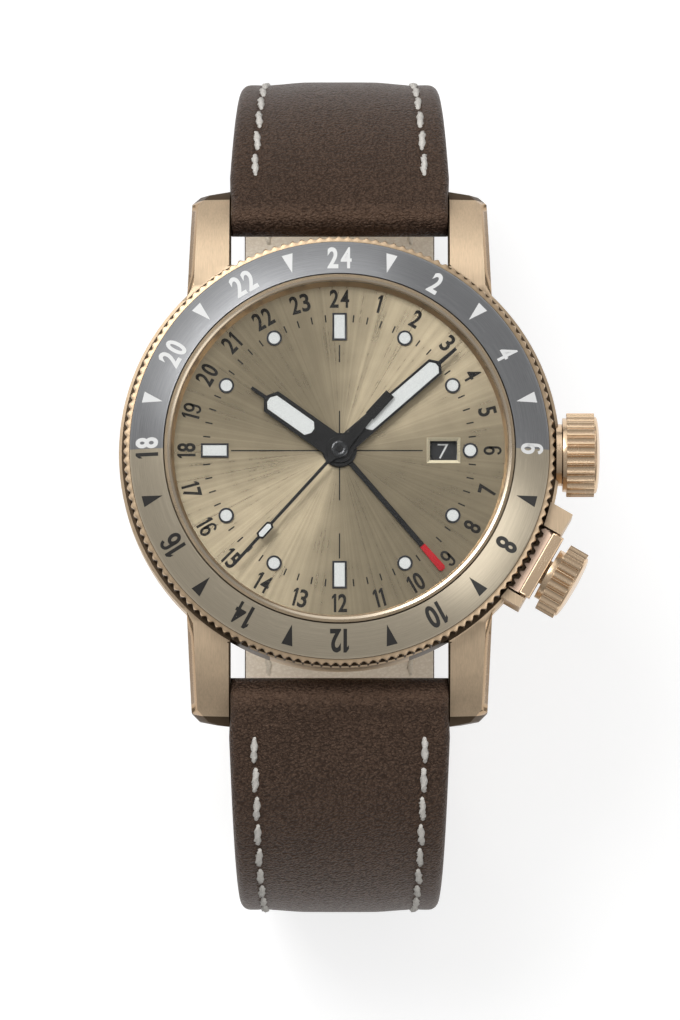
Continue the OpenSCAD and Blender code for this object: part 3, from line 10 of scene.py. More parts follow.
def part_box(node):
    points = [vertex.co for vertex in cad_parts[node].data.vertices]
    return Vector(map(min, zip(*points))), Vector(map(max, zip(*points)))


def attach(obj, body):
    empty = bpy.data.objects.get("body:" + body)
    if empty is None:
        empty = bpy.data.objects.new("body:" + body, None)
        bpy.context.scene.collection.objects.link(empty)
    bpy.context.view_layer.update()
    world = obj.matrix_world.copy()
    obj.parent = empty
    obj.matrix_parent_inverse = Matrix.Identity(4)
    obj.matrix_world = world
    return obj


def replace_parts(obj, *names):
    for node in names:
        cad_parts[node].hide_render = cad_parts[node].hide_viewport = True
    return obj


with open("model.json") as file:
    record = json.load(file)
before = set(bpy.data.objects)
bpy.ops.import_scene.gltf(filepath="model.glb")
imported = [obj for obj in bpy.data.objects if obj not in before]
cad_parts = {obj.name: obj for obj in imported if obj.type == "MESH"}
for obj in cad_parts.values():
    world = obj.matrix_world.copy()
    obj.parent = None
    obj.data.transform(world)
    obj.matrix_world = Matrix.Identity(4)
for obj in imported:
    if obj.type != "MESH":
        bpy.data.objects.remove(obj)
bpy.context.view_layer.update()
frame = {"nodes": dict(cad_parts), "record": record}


# Middle case: one bronze piece, turned for the bezel and the movement, with four milled lugs.
# Its tops and sides are brushed along the strap, and its outer edges have a polished bevel, coloured darker as a
# painted dark reflection.

MM = 0.001
BODIES = {node: body for body, nodes in frame["record"]["behaviour"]["bodies"].items() for node in nodes}
DIAL_Z = 45.0


class Field:
    """A value or a colour that varies over a surface: one output of a node, with plain arithmetic."""

    def __init__(self, tree, socket):
        self.tree = tree
        self.socket = socket

    def node(self, kind, settings=None, inputs=None, out=0):
        """A new node with its settings, and the values or links of its sockets."""
        made = self.tree.nodes.new(kind)
        for key, value in (settings or {}).items():
            if key == "stops":
                ramp = made.color_ramp
                while len(ramp.elements) < len(value):
                    ramp.elements.new(0.5)
                for element, (position, shade) in zip(ramp.elements, value):
                    element.position = position
                    element.color = (*shade, 1) if isinstance(shade, tuple) else (shade, shade, shade, 1)
            else:
                setattr(made, key, value)
        for key, value in (inputs or {}).items():
            if isinstance(value, Field):
                self.tree.links.new(value.socket, made.inputs[key])
            else:
                made.inputs[key].default_value = value
        return Field(self.tree, made.outputs[out])

    def math(self, operation, *values):
        return self.node("ShaderNodeMath", {"operation": operation}, dict(enumerate((self, *values))))

    def __add__(self, other):
        return self.math("ADD", other)

    def __sub__(self, other):
        return self.math("SUBTRACT", other)

    def __mul__(self, other):
        return self.math("MULTIPLY", other)

    def __rsub__(self, other):
        return self * -1.0 + other

    __radd__ = __add__
    __rmul__ = __mul__

    def to(self, socket):
        self.tree.links.new(self.socket, socket)

    def scaled(self, by):
        """The same vector with each axis multiplied."""
        return self.node("ShaderNodeVectorMath", {"operation": "MULTIPLY"}, {0: self, 1: by})

    def axis(self, name):
        return self.node("ShaderNodeSeparateXYZ", None, {0: self}, "XYZ".index(name))

    def noise(self, scale, detail=2.0, rough=0.5):
        return self.node("ShaderNodeTexNoise", None,
                         {"Vector": self, "Scale": scale, "Detail": detail, "Roughness": rough})

    def radius(self):
        """Distance from the hands' axis."""
        return self.node("ShaderNodeVectorMath", {"operation": "LENGTH"}, {0: self.scaled((1, 1, 0))}, 1)

    def band(self, low, high):
        """0 below low, 1 above high, and even between them."""
        return self.node("ShaderNodeMapRange", None, {"Value": self, "From Min": low, "From Max": high})

    def blend(self, below, above):
        """One colour where the value is 0, and another where it is 1."""
        inputs = {0: self}
        for key, shade in ((6, below), (7, above)):
            inputs[key] = shade if isinstance(shade, Field) else (*shade, 1)
        return self.node("ShaderNodeMix", {"data_type": "RGBA"}, inputs, 2)


def start_finish(name, **constants):
    """A material with constant values on its shader, and the place on the surface in millimetres."""
    material = bpy.data.materials.new(name)
    material.use_nodes = True
    tree = material.node_tree
    shader = tree.nodes["Principled BSDF"]
    for key, value in constants.items():
        shader.inputs[key.replace("_", " ")].default_value = value
    coordinates = tree.nodes.new("ShaderNodeTexCoord")
    here = Field(tree, coordinates.outputs["Object"]).scaled((1 / MM,) * 3)
    return material, here, shader


def relief(height, shader, depth):
    """Gives a shader's surface a relief of a depth in millimetres."""
    height.node("ShaderNodeBump", None, {"Height": height, "Distance": depth * MM}).to(shader.inputs["Normal"])


def metal(name, colour, rough=0.3, grain="satin", depth=0.004, contrast=0.16):
    """A metal with brush lines along the strap, round the hands' axis or out from it, or with a fine satin."""
    material, here, shader = start_finish(name, Metallic=1.0, Anisotropic=0.75 if grain in ("round", "out") else 0.0,
                                          Anisotropic_Rotation=0.25 if grain == "round" else 0.0)
    if grain == "along":
        lines = here.scaled((9, 0.3, 5)).noise(1.0, 3.0, 0.65)
    elif grain == "round":
        turned = {0: here.radius() * 9.0, 1: here.noise(0.25) * 3.0, 2: here.axis("Z") * 4.0}
        lines = here.node("ShaderNodeCombineXYZ", None, turned).noise(1.0, 3.0, 0.65)
    elif grain == "out":
        unit = here.node("ShaderNodeVectorMath", {"operation": "NORMALIZE"}, {0: here.scaled((1, 1, 0))})
        lines = unit.noise(34.0, 2.5, 0.5)
    else:
        lines = here.noise(11.0, 4.0, 0.6)
    patina = here.noise(0.35, 3.0, 0.6)
    tone = lines * 0.75 + patina * 0.45
    dark = tuple(c * (1 - contrast) for c in colour)
    light = tuple(min(1.0, c * (1 + contrast)) for c in colour)
    tone.band(0.4, 0.8).blend(dark, light).to(shader.inputs["Base Color"])
    (lines * 0.16 + patina * 0.12 + (rough - 0.14)).to(shader.inputs["Roughness"])
    if depth:
        relief(lines, shader, depth)
    return material


def as_mesh(shape, name):
    """A bmesh made a mesh, and freed."""
    mesh = bpy.data.meshes.new(name)
    shape.to_mesh(mesh)
    shape.free()
    return mesh


def finish_mesh(shape, name, body, material, sharp=35.0):
    """Makes a bmesh in millimetres a piece that rides on a body, smooth but for its sharp edges."""
    mesh = as_mesh(shape, name)
    mesh.transform(Matrix.Scale(MM, 4))
    mesh.shade_smooth()
    mesh.set_sharp_from_angle(angle=math.radians(sharp))
    for each in material if isinstance(material, tuple) else (material,):
        mesh.materials.append(each)
    piece = bpy.data.objects.new(name, mesh)
    bpy.context.scene.collection.objects.link(piece)
    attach(piece, body)
    return piece


def flat_faced(piece):
    """Shades the large faces of a piece flat, and only its narrow bevels round."""
    modifier = piece.modifiers.new("normals", "WEIGHTED_NORMAL")
    modifier.keep_sharp = True
    return piece


def taken(node):
    """A CAD solid's shape as a bmesh in millimetres, with its triangles joined into its real faces."""
    shape = bmesh.new()
    shape.from_mesh(frame["nodes"][node].data)
    bmesh.ops.scale(shape, vec=(1 / MM,) * 3, verts=shape.verts)
    bmesh.ops.remove_doubles(shape, verts=shape.verts, dist=0.0008)
    bmesh.ops.dissolve_limit(shape, angle_limit=math.radians(0.6), verts=shape.verts, edges=shape.edges)
    return shape


def sharp_edges(shape, test=None, angle=25.0):
    """The sharp outer edges of a shape, or those whose middle point passes a test."""
    found = []
    for edge in shape.edges:
        if len(edge.link_faces) == 2 and edge.calc_face_angle(0.0) > math.radians(angle) and edge.is_convex:
            if test is None or test((edge.verts[0].co + edge.verts[1].co) / 2):
                found.append(edge)
    return found


def soften(shape, edges, width, segments=2, clamp=True):
    """Bevels edges: flat with one segment, and round with more."""
    if edges:
        bmesh.ops.bevel(shape, geom=edges, offset=width, offset_type="OFFSET", affect="EDGES", segments=segments,
                        profile=0.5, material=-1, clamp_overlap=clamp)


def dressed(node, material, width=0.0, segments=2, angle=25.0, sharp=20.0):
    """A piece with a CAD solid's shape, softened edges and a finish, in place of that solid."""
    shape = taken(node)
    if width:
        soften(shape, sharp_edges(shape, None, angle), width, segments)
    piece = flat_faced(finish_mesh(shape, node + "_piece", BODIES[node], material, sharp))
    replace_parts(piece, node)
    return piece


def keep(node, material):
    """A CAD solid whose shape is right, with a finish."""
    held = frame["nodes"][node].data
    held.materials.clear()
    held.materials.append(material)


GAP_X = 11.05
LUG_LOW_Z, LUG_OUTER_X = 37.9, 14.3
LUG_ROOT_Y, LUG_END_Y = 17, 26.3
GAP_ROOT_Y = 19.4
NECK_R, NECK_LOW_Z = 18.5, 45.5
SEAT_R, SEAT_Z = 21.5, 42.2
BAND_R, BAND_X, BAND_Y = 23, 13.5, 16


def outer_lug_edge(point):
    return point.z > LUG_LOW_Z and abs(point.x) > LUG_OUTER_X and abs(point.y) > LUG_ROOT_Y


def inner_lug_edge(point):
    return point.z > LUG_LOW_Z and abs(point.x) < GAP_X + 0.05 and abs(point.y) > GAP_ROOT_Y


def other_edge(point):
    return not outer_lug_edge(point) and abs(abs(point.x) - GAP_X) > 0.3


case_finish = metal("brushed_bronze", (0.585, 0.45, 0.31), 0.5, "along", 0.004, 0.13)
neck_finish = metal("polished_neck", (0.36, 0.28, 0.19), 0.3, "satin", 0.0003, 0.03)
# Polished bevel and lug sides: lower roughness, and a darker colour that is a painted dark reflection.
painted_dark_band_finish = metal("polished_band_painted_dark", (0.44, 0.31, 0.195), 0.24, "along", 0.001, 0.06)
# Painted shade: a near black bronze standing in for shadow and dark reflections, on the seat under the bezel, the
# lugs' inner sides and end faces, and the walls of the bezel's notches.
painted_shade_finish = metal("painted_shade_bronze", (0.10, 0.07, 0.045), 0.5, "satin", 0.002, 0.1)
case_finishes = (case_finish, neck_finish, painted_dark_band_finish, painted_shade_finish)
BRUSHED, NECK, BAND, PAINTED_SHADE = range(4)

case = taken("mid_case")
soften(case, sharp_edges(case, outer_lug_edge), 0.6, segments=1, clamp=False)
soften(case, sharp_edges(case, inner_lug_edge), 0.16, segments=1, clamp=False)
soften(case, sharp_edges(case, other_edge), 0.1)
case.normal_update()
for face in case.faces:
    middle = face.calc_center_median()
    x, y, reach = abs(middle.x), abs(middle.y), math.hypot(middle.x, middle.y)
    side = abs(face.normal.x)
    if middle.z > NECK_LOW_Z and reach < NECK_R:
        face.material_index = NECK
    # Painted shade on the seat under the bezel, on the lugs' inner sides and on their end faces.
    elif reach < SEAT_R and middle.z > SEAT_Z:
        face.material_index = PAINTED_SHADE
    elif x < GAP_X + 0.15 and reach > 21 and side > 0.3 or y > LUG_END_Y and x > 11:
        face.material_index = PAINTED_SHADE
    elif reach > BAND_R and x > BAND_X and y > BAND_Y and side > 0.2:
        face.material_index = BAND
    else:
        face.material_index = BRUSHED
case = finish_mesh(case, "mid_case_piece", "case", case_finishes, sharp=20)
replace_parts(flat_faced(case), "mid_case")


# Case back: a turned steel disc with key slots near its rim, screwed into the case on a black
# rubber gasket. The winding crown and the crystal have gaskets of rubber and brown nylon.

dressed("case_back", metal("turned_steel", (0.58, 0.57, 0.55), 0.32, "round", 0.003), 0.08)


def elastic(name, colour, rough):
    """Rubber, plastic or paint with a fine uneven skin."""
    material, here, shader = start_finish(name)
    skin = here.noise(14.0, 3.0)
    dull = tuple(c * 0.8 for c in colour)
    skin.band(0.35, 0.7).blend(dull, colour).to(shader.inputs["Base Color"])
    (skin * 0.2 + (rough - 0.1)).to(shader.inputs["Roughness"])
    relief(skin, shader, 0.004)
    return material


black_rubber = elastic("black_rubber", (0.03, 0.03, 0.032), 0.6)
keep("case_back_gasket", black_rubber)
keep("crown_gasket", black_rubber)
keep("crystal_gasket", elastic("brown_nylon", (0.22, 0.155, 0.095), 0.35))


# Bezel: a bronze ring that turns on the case, with a coined edge and a polished rim round the
# insert. The insert is a brushed plate glued on its slope, grey for the night hours and pale gold
# for the day, with printed numbers and triangles.

def spun(profile, steps=240):
    """A closed ring with a cross section given by radius and height over the dial, in millimetres."""
    shape = bmesh.new()
    made = bmesh.ops.create_circle(shape, cap_ends=False, segments=len(profile), radius=1.0)
    for vert, (radius, rise) in zip(made["verts"], profile):
        vert.co = (radius, 0, DIAL_Z + rise)
    bmesh.ops.spin(shape, geom=shape.verts[:] + shape.edges[:], cent=(0, 0, 0), axis=(0, 0, 1), angle=2 * math.pi,
                   steps=steps, use_merge=True)
    bmesh.ops.recalc_face_normals(shape, faces=shape.faces)
    return shape


bezel_finish, here, shader = start_finish("polished_bronze", Metallic=1.0, Roughness=0.4)
radius = here.radius()
lines = here.node("ShaderNodeCombineXYZ", None, {0: radius * 9.0, 1: here.noise(0.3) * 3.0, 2: 0.0}).noise(1.0, 3.0)
rim = lines.band(0.3, 0.75).blend((0.34, 0.25, 0.16), (0.42, 0.31, 0.205))
crests = lines.band(0.3, 0.75).blend((0.52, 0.385, 0.25), (0.64, 0.48, 0.32))
radius.band(21.2, 21.42).blend(rim, crests).to(shader.inputs["Base Color"])
relief(lines, shader, 0.002)

TEETH = 144
TIP_R = 21.8
NOTCH = (0, 0, 0.45, 1, 1, 0.45)
NOTCH_DEPTH, RIM_NOTCH_DEPTH = 0.28, 0.14
SHOE_NOTCH = (0, 0, 0.8, 1, 1, 0.8)
SHOE_NOTCH_DEPTH = 0.44
SHOE_RISE = -0.4
bezel = spun(((18.95, -2.45), (21.68, -2.45), (TIP_R, -2.33), (TIP_R, -0.55), (TIP_R, -0.3), (TIP_R, 0.26),
              (21.68, 0.42), (21.44, 0.5), (21.22, 0.54), (21.2, 0.5), (21.2, 0.38), (17.75, 1.88), (17.75, 0.95),
              (18.95, 0.95)), TEETH * len(NOTCH))
for vert in bezel.verts:
    reach = math.hypot(vert.co.x, vert.co.y)
    if reach > 21.45:
        sample = round(math.atan2(vert.co.y, vert.co.x) / math.tau * TEETH * len(NOTCH)) % len(NOTCH)
        if vert.co.z < DIAL_Z + SHOE_RISE:
            less = 1 - (reach - TIP_R + SHOE_NOTCH_DEPTH) * SHOE_NOTCH[sample] / reach
        else:
            less = 1 - (NOTCH_DEPTH if reach > 21.69 else RIM_NOTCH_DEPTH) * NOTCH[sample] / reach
        vert.co.x *= less
        vert.co.y *= less
# The side walls of the coined edge's notches get the painted shade.
for face in bezel.faces:
    middle = face.calc_center_median()
    if abs(face.normal.z) < 0.3 and math.hypot(middle.x, middle.y) > 21.3:
        face.material_index = 1
bezel_finishes = (bezel_finish, painted_shade_finish)
bezel = finish_mesh(bezel, "bezel_ring_piece", "bezel", bezel_finishes, sharp=30)
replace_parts(bezel, "bezel_ring")

insert_finish, here, shader = start_finish("two_tone_plate", Metallic=0.85, Anisotropic=0.6,
                                           Anisotropic_Rotation=0.25)
turned = here.node("ShaderNodeCombineXYZ", None, {0: here.radius() * 11.0, 1: here.noise(0.3) * 4.0, 2: 0.0})
lines = turned.noise(1.0, 3.0, 0.7)
day = lines.band(0.3, 0.75).blend((0.50, 0.43, 0.32), (0.64, 0.56, 0.43))
night = lines.band(0.3, 0.75).blend((0.27, 0.273, 0.28), (0.36, 0.363, 0.372))
half = here.axis("Y").band(-0.03, 0.03)
half.blend(day, night).to(shader.inputs["Base Color"])
(lines * 0.2 + 0.24).to(shader.inputs["Roughness"])
relief(lines, shader, 0.003)
INSERT = ((17.78, 2.4), (21.0, 0.9), (21.17, 0.7), (21.17, 0.45), (17.78, 1.9))
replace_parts(finish_mesh(spun(INSERT), "bezel_insert_piece", "bezel", insert_finish), "bezel_insert")

two_tone_print, here, shader = start_finish("two_tone_print", Roughness=0.45)
pale = (here.axis("Y") + here.axis("X").band(-1.0, 1.0) * 1.5).band(-0.03, 0.03)
pale.blend((0.018, 0.016, 0.014), (0.80, 0.80, 0.79)).to(shader.inputs["Base Color"])


def figure_mesh(figure, height, width, bold):
    """One bold figure as a flat mesh in millimetres, its lower left corner at the origin."""
    curve = bpy.data.curves.new("figure", "FONT")
    curve.body = figure
    written = bpy.data.objects.new("figure", curve)
    bpy.context.scene.collection.objects.link(written)
    depsgraph = bpy.context.evaluated_depsgraph_get()
    outline = written.evaluated_get(depsgraph).to_curve(depsgraph).copy()
    bpy.data.objects.remove(written)
    points = [point.co for spline in outline.splines for point in spline.bezier_points]
    low, high = ([pick(point[axis] for point in points) for axis in (0, 1)] for pick in (min, max))
    wider, taller = ((size - 2 * bold) / (high[axis] - low[axis]) for axis, size in enumerate((width, height)))
    outline.transform(Matrix.Diagonal((wider, taller, 1, 1)) @ Matrix.Translation((-low[0], -low[1], 0)))
    outline.transform(Matrix.Translation((bold, bold, 0)))
    outline.dimensions = "2D"
    outline.fill_mode = "FRONT"
    outline.resolution_u = 5
    outline.offset = bold
    drawn = bpy.data.objects.new("figure", outline)
    bpy.context.scene.collection.objects.link(drawn)
    mesh = bpy.data.meshes.new_from_object(drawn.evaluated_get(bpy.context.evaluated_depsgraph_get()))
    bpy.data.objects.remove(drawn)
    return mesh


def curled(figure, height, width, stroke):
    """A 6 or a 9 as a flat mesh: a stroke that starts at its hook and curls into the bowl."""
    shape = bmesh.new()
    across, bowl = (width - stroke) / 2, height * 0.31 - stroke / 2
    hook = bowl * 0.82
    path = []
    for turn in (math.radians(8 + 21.5 * i) for i in range(9)):
        path.append((width / 2 + across * math.cos(turn), height - stroke / 2 - hook + hook * math.sin(turn),
                     stroke * 0.9))
    for turn in (math.radians(180 + 20 * i) for i in range(19)):
        path.append((width / 2 + across * math.cos(turn), stroke / 2 + bowl + bowl * math.sin(turn), stroke))
    made = bmesh.ops.create_grid(shape, x_segments=len(path) - 1, y_segments=1, size=0.5)
    for vert in made["verts"]:
        at = round((vert.co.x + 0.5) * (len(path) - 1))
        before, place, after = path[max(at - 1, 0)], path[at], path[min(at + 1, len(path) - 1)]
        along = Vector((after[0] - before[0], after[1] - before[1])).normalized()
        side = place[2] / 2 * (1 if vert.co.y > 0 else -1)
        vert.co = (place[0] - along.y * side, place[1] + along.x * side, 0)
    if figure == "9":
        bmesh.ops.rotate(shape, cent=(width / 2, height / 2, 0), matrix=Matrix.Rotation(math.pi, 3, "Z"),
                         verts=shape.verts)
    return as_mesh(shape, "figure")


def polygon(points, z=0.0):
    """A flat face as a bmesh."""
    shape = bmesh.new()
    made = bmesh.ops.create_circle(shape, cap_ends=True, segments=len(points), radius=1.0)
    for vert, (x, y) in zip(made["verts"], points):
        vert.co = (x, y, z)
    return shape


def one_mesh(height, width, stroke):
    """A 1 as a flat mesh: a straight stroke with a short sloping flag."""
    flag = height - height * 0.13 * 1.2
    inner = height - height * 0.13 - stroke * 0.55
    points = ((width, 0), (width, height), (width - stroke * 0.8, height), (0, flag), (0, flag - stroke),
              (width - stroke, inner), (width - stroke, 0))
    return as_mesh(polygon(points), "figure")


def lay(shape, mesh, matrix):
    """Adds a mesh to a bmesh at a place."""
    mesh.transform(matrix)
    shape.from_mesh(mesh)
    bpy.data.meshes.remove(mesh)


def number_mesh(text, height, stroke, bold, gap=0.1):
    """A number as a flat mesh in millimetres, its middle at the origin."""
    shape = bmesh.new()
    across = 0.0
    for figure in text:
        width = height * (0.24 if figure == "1" else 0.485)
        if figure == "1":
            mesh = one_mesh(height, width, stroke)
        elif figure in "69":
            mesh = curled(figure, height, width, stroke)
        else:
            mesh = figure_mesh(figure, height, width, bold * (0.5 if figure == "4" else 1))
        lay(shape, mesh, Matrix.Translation((across, 0, 0)))
        across += width + height * gap
    whole = across - height * gap
    bmesh.ops.translate(shape, vec=(-whole / 2, -height / 2, 0), verts=shape.verts)
    return as_mesh(shape, "number")


def thicken(shape, thick):
    """Gives flat shapes a thickness upwards, closed."""
    bmesh.ops.remove_doubles(shape, verts=shape.verts, dist=1e-4)
    bmesh.ops.dissolve_degenerate(shape, edges=shape.edges, dist=1e-4)
    bmesh.ops.recalc_face_normals(shape, faces=shape.faces)
    flat = list(shape.faces)
    for face in flat:
        if face.normal.z > 0:
            face.normal_flip()
    made = bmesh.ops.extrude_face_region(shape, geom=flat, use_keep_orig=True)
    raised = [each for each in made["geom"] if isinstance(each, bmesh.types.BMVert)]
    bmesh.ops.translate(shape, vec=(0, 0, thick), verts=raised)
    bmesh.ops.recalc_face_normals(shape, faces=shape.faces)


def on_insert(shape, lift):
    """Sets flat shapes on the insert's slope."""
    (inner, top), (outer, foot) = INSERT[:2]
    for vert in shape.verts:
        share = (math.hypot(vert.co.x, vert.co.y) - inner) / (outer - inner)
        vert.co.z += DIAL_Z + top + (foot - top) * share + lift


def turned_out(angle, radius, flip=False):
    """Place of a figure at a clock angle, its top outwards, or inwards where it is flipped."""
    return (Matrix.Rotation(math.radians(-angle), 4, "Z") @ Matrix.Translation((0, radius, 0))
            @ Matrix.Rotation(math.pi if flip else 0.0, 4, "Z"))


BEZEL_NUMBER_R = 19.42
TRIANGLE = ((-0.575, 20.5), (0.575, 20.5), (0, 18.45))
FIGURE_GAP, WIDE_GAP, WIDE_SHIFT = 0.1, 0.19, 0.1
numbers = bmesh.new()
for number in range(2, 25, 2):
    gap, shift = (WIDE_GAP, WIDE_SHIFT) if number == 18 else (FIGURE_GAP, 0)
    figure = number_mesh(str(number), height=2.3, stroke=0.36, bold=0.08, gap=gap)
    lay(numbers, figure, turned_out(15 * number, BEZEL_NUMBER_R) @ Matrix.Translation((shift, 0, 0)))
for step in range(12):
    lay(numbers, as_mesh(polygon(TRIANGLE), "triangle"), Matrix.Rotation(math.radians(-15 - 30 * step), 4, "Z"))
bmesh.ops.triangulate(numbers, faces=numbers.faces)
long_edges = [edge for edge in numbers.edges if edge.calc_length() > 0.5]
bmesh.ops.subdivide_edges(numbers, edges=long_edges, cuts=2, use_grid_fill=True)
thicken(numbers, 0.03)
on_insert(numbers, lift=-0.012)
finish_mesh(numbers, "bezel_numbers", "bezel", two_tone_print)


# Crystal: a slightly domed sapphire glass with a ground bevel, pressed into the case's neck in a
# nylon ring. The neck's lip is polished round it, and a bronze flange slopes from under its edge
# down to the dial.

sapphire = bpy.data.materials.new("clear_sapphire")
sapphire.use_nodes = True
tree = sapphire.node_tree
tree.nodes.remove(tree.nodes["Principled BSDF"])
fresnel = Field(tree, None).node("ShaderNodeFresnel", None, {"IOR": 1.45})
clear = fresnel.node("ShaderNodeBsdfTransparent", None, {"Color": (0.985, 0.99, 0.99, 1)})
gloss = fresnel.node("ShaderNodeBsdfGlossy", None, {"Roughness": 0.02})
cover = fresnel.node("ShaderNodeMixShader", None, {0: fresnel * 0.18, 1: clear, 2: gloss})
cover.to(tree.nodes["Material Output"].inputs["Surface"])
GLASS_R, GLASS_LOW, GLASS_EDGE = 17.0, 1.75, 2.7
DOME_R, DOME_RISE, DOME_STEPS = 16.85, 0.6, 20
glass = [(0, GLASS_LOW), (GLASS_R, GLASS_LOW), (GLASS_R, 2.55), (DOME_R, GLASS_EDGE)]
glass += [(DOME_R * i / DOME_STEPS, GLASS_EDGE + DOME_RISE * (1 - i * i / DOME_STEPS ** 2))
          for i in range(DOME_STEPS - 1, -1, -1)]
crystal = spun(glass, 120)
bmesh.ops.remove_doubles(crystal, verts=crystal.verts, dist=1e-4)
bmesh.ops.delete(crystal, geom=[edge for edge in crystal.edges if edge.is_wire], context="EDGES")
bmesh.ops.recalc_face_normals(crystal, faces=crystal.faces)
crystal = finish_mesh(crystal, "crystal_piece", BODIES["crystal"], sapphire, sharp=20)
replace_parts(crystal, "crystal")

lip_finish = metal("polished_lip", (0.52, 0.44, 0.34), 0.2, "satin", 0.0003, 0.02)
lip = spun(((17.05, 2.455), (17.64, 2.455), (17.64, 2.52), (17.6, 2.565), (17.36, 2.57), (17.12, 2.5), (17.05, 2.47)))
for face in lip.faces:
    middle = face.calc_center_median()
    if not 17.1 < math.hypot(middle.x, middle.y) < 17.4:
        face.material_index = 1
finish_mesh(lip, "neck_lip", "case", (lip_finish, neck_finish), sharp=8)

flange_finish = metal("satin_bronze", (0.60, 0.43, 0.275), 0.34, "round", 0.002, 0.08)
flange = spun(((16.72, 0.0), (17.3, 0.0), (17.3, 1.75), (17.0, 1.75), (16.86, 0.88)))
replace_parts(finish_mesh(flange, "flange_ring_piece", "case", flange_finish), "flange_ring")


# Dial: a champagne disc brushed outwards from its middle, with printed numbers, ticks and cross
# lines, and applied frames filled with luminous paint. A ring with the date turns under its window,
# which has a gilt frame of its own.

dressed("dial", metal("sunray_champagne", (0.42, 0.345, 0.235), 0.3, "out", 0, 0.15))
dark_frame = metal("dark_plating", (0.07, 0.07, 0.075), 0.3, "satin", 0.002, 0.1)
frames = taken("dial_markers")
date_verts = [vert for vert in frames.verts if 8.8 < vert.co.x < 12.3 and abs(vert.co.y) < 1.45]
bmesh.ops.delete(frames, geom=date_verts, context="VERTS")
soften(frames, sharp_edges(frames), 0.03)
frames = finish_mesh(frames, "dial_markers_piece", "case", dark_frame, sharp=20)
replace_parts(frames, "dial_markers")
lume = elastic("luminous_paint", (0.93, 0.94, 0.92), 0.6)
dressed("marker_lume", lume, 0.03)
keep("date_ring", elastic("black_date_ring", (0.02, 0.02, 0.022), 0.4))


def woven(rows, ring=False):
    """A closed skin over rows of points: a ring of rows, or a row of them with its two ends closed."""
    shape = bmesh.new()
    around = len(rows[0])
    along = len(rows) if ring else len(rows) - 1
    bmesh.ops.create_grid(shape, x_segments=along, y_segments=around, size=0.5)
    for vert in shape.verts:
        row = rows[round((vert.co.x + 0.5) * along) % len(rows)]
        vert.co = row[round((vert.co.y + 0.5) * around) % around]
    bmesh.ops.remove_doubles(shape, verts=shape.verts, dist=1e-4)
    bmesh.ops.holes_fill(shape, edges=[edge for edge in shape.edges if edge.is_boundary])
    bmesh.ops.recalc_face_normals(shape, faces=shape.faces)
    return shape


DATE_X = 10.5
CORNERS = ((-1, -1), (1, -1), (1, 1), (-1, 1))
FRAME_STEPS = ((3.4, 2.62, 0), (3.4, 2.62, 0.06), (3.38, 2.6, 0.15), (3.3, 2.52, 0.15), (2.74, 1.95, 0.02),
               (2.74, 1.95, 0))
date_frame = woven([[(DATE_X + x * wide / 2, y * high / 2, DIAL_Z + rise) for x, y in CORNERS]
                    for wide, high, rise in FRAME_STEPS], ring=True)
frame_finish = metal("gilt_date_frame", (0.80, 0.70, 0.50), 0.3, "satin", 0.001, 0.06)
finish_mesh(date_frame, "date_frame", "case", frame_finish, sharp=5)

print_black = elastic("black_print", (0.012, 0.009, 0.006), 0.65)
print_white = elastic("white_print", (0.86, 0.86, 0.85), 0.45)


def printed(shape, name, material, body="case", thick=0.012):
    """Makes flat shapes a thin layer of paint."""
    thicken(shape, thick)
    return finish_mesh(shape, name, body, material)


def line_out(shape, width, angle, inner, outer):
    """Adds a flat line on the dial, at a clock angle, between two radii."""
    made = bmesh.ops.create_grid(shape, x_segments=1, y_segments=1, size=0.5)
    bmesh.ops.scale(shape, vec=(width, outer - inner, 1), verts=made["verts"])
    place = turned_out(angle, (inner + outer) / 2) @ Matrix.Translation((0, 0, DIAL_Z))
    bmesh.ops.transform(shape, matrix=place, verts=made["verts"])


HOUR_NUMBER_R = 15.46
hours = bmesh.new()
for hour in range(1, 25):
    figure = number_mesh(str(hour), height=1.86, stroke=0.26, bold=0.056)
    lay(hours, figure, turned_out(15 * hour, HOUR_NUMBER_R, 7 <= hour <= 17) @ Matrix.Translation((0, 0, DIAL_Z)))
printed(hours, "hour_numbers", print_black)

TICK_W, TICK_RADII = 0.14, (13.115, 13.845)
ticks = bmesh.new()
for minute in range(60):
    if minute % 5:
        line_out(ticks, TICK_W, 6 * minute, *TICK_RADII)
printed(ticks, "minute_ticks", print_black)

CROSS_W = 0.13
cross = bmesh.new()
for angle, inner, outer in ((0, 0.6, 4.05), (0, 9.0, 10.75), (180, 0.6, 5.05), (180, 8.4, 10.95), (270, 0.6, 10.95),
                            (90, 0.6, 8.4)):
    line_out(cross, CROSS_W, angle, inner, outer)
printed(cross, "cross_lines", print_black, thick=0.008)

date_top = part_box("date_ring")[1].z / MM
digit = bmesh.new()
lay(digit, figure_mesh("7", height=1.5, width=1.12, bold=-0.035), Matrix.Translation((9.91, -0.75, date_top)))
printed(digit, "date_digit", print_white, "date_ring")


# Hands: stamped and plated dark, with bevelled rims and luminous fill, and pressed on their tubes.
# The second zone's hand has a red painted tip, and the seconds hand a raised collar and a small
# filled lozenge.

hand_finish = metal("dark_hand_plating", (0.043, 0.042, 0.042), 0.3, "satin", 0.002, 0.12)
for node in ("hour_hand", "minute_hand", "second_hand", "zone_hand"):
    dressed(node, hand_finish, 0.03)
for node in ("hour_lume", "minute_lume"):
    dressed(node, lume, 0.03)

collar = spun(((0.34, 1.6), (0.84, 1.6), (0.84, 1.66), (0.78, 1.7), (0.5, 1.7), (0.4, 1.66), (0.34, 1.66)), 48)
collar_finish = metal("bright_dark_plating", (0.075, 0.075, 0.077), 0.26, "satin", 0.001, 0.06)
finish_mesh(collar, "second_collar", BODIES["second_hand"], collar_finish)

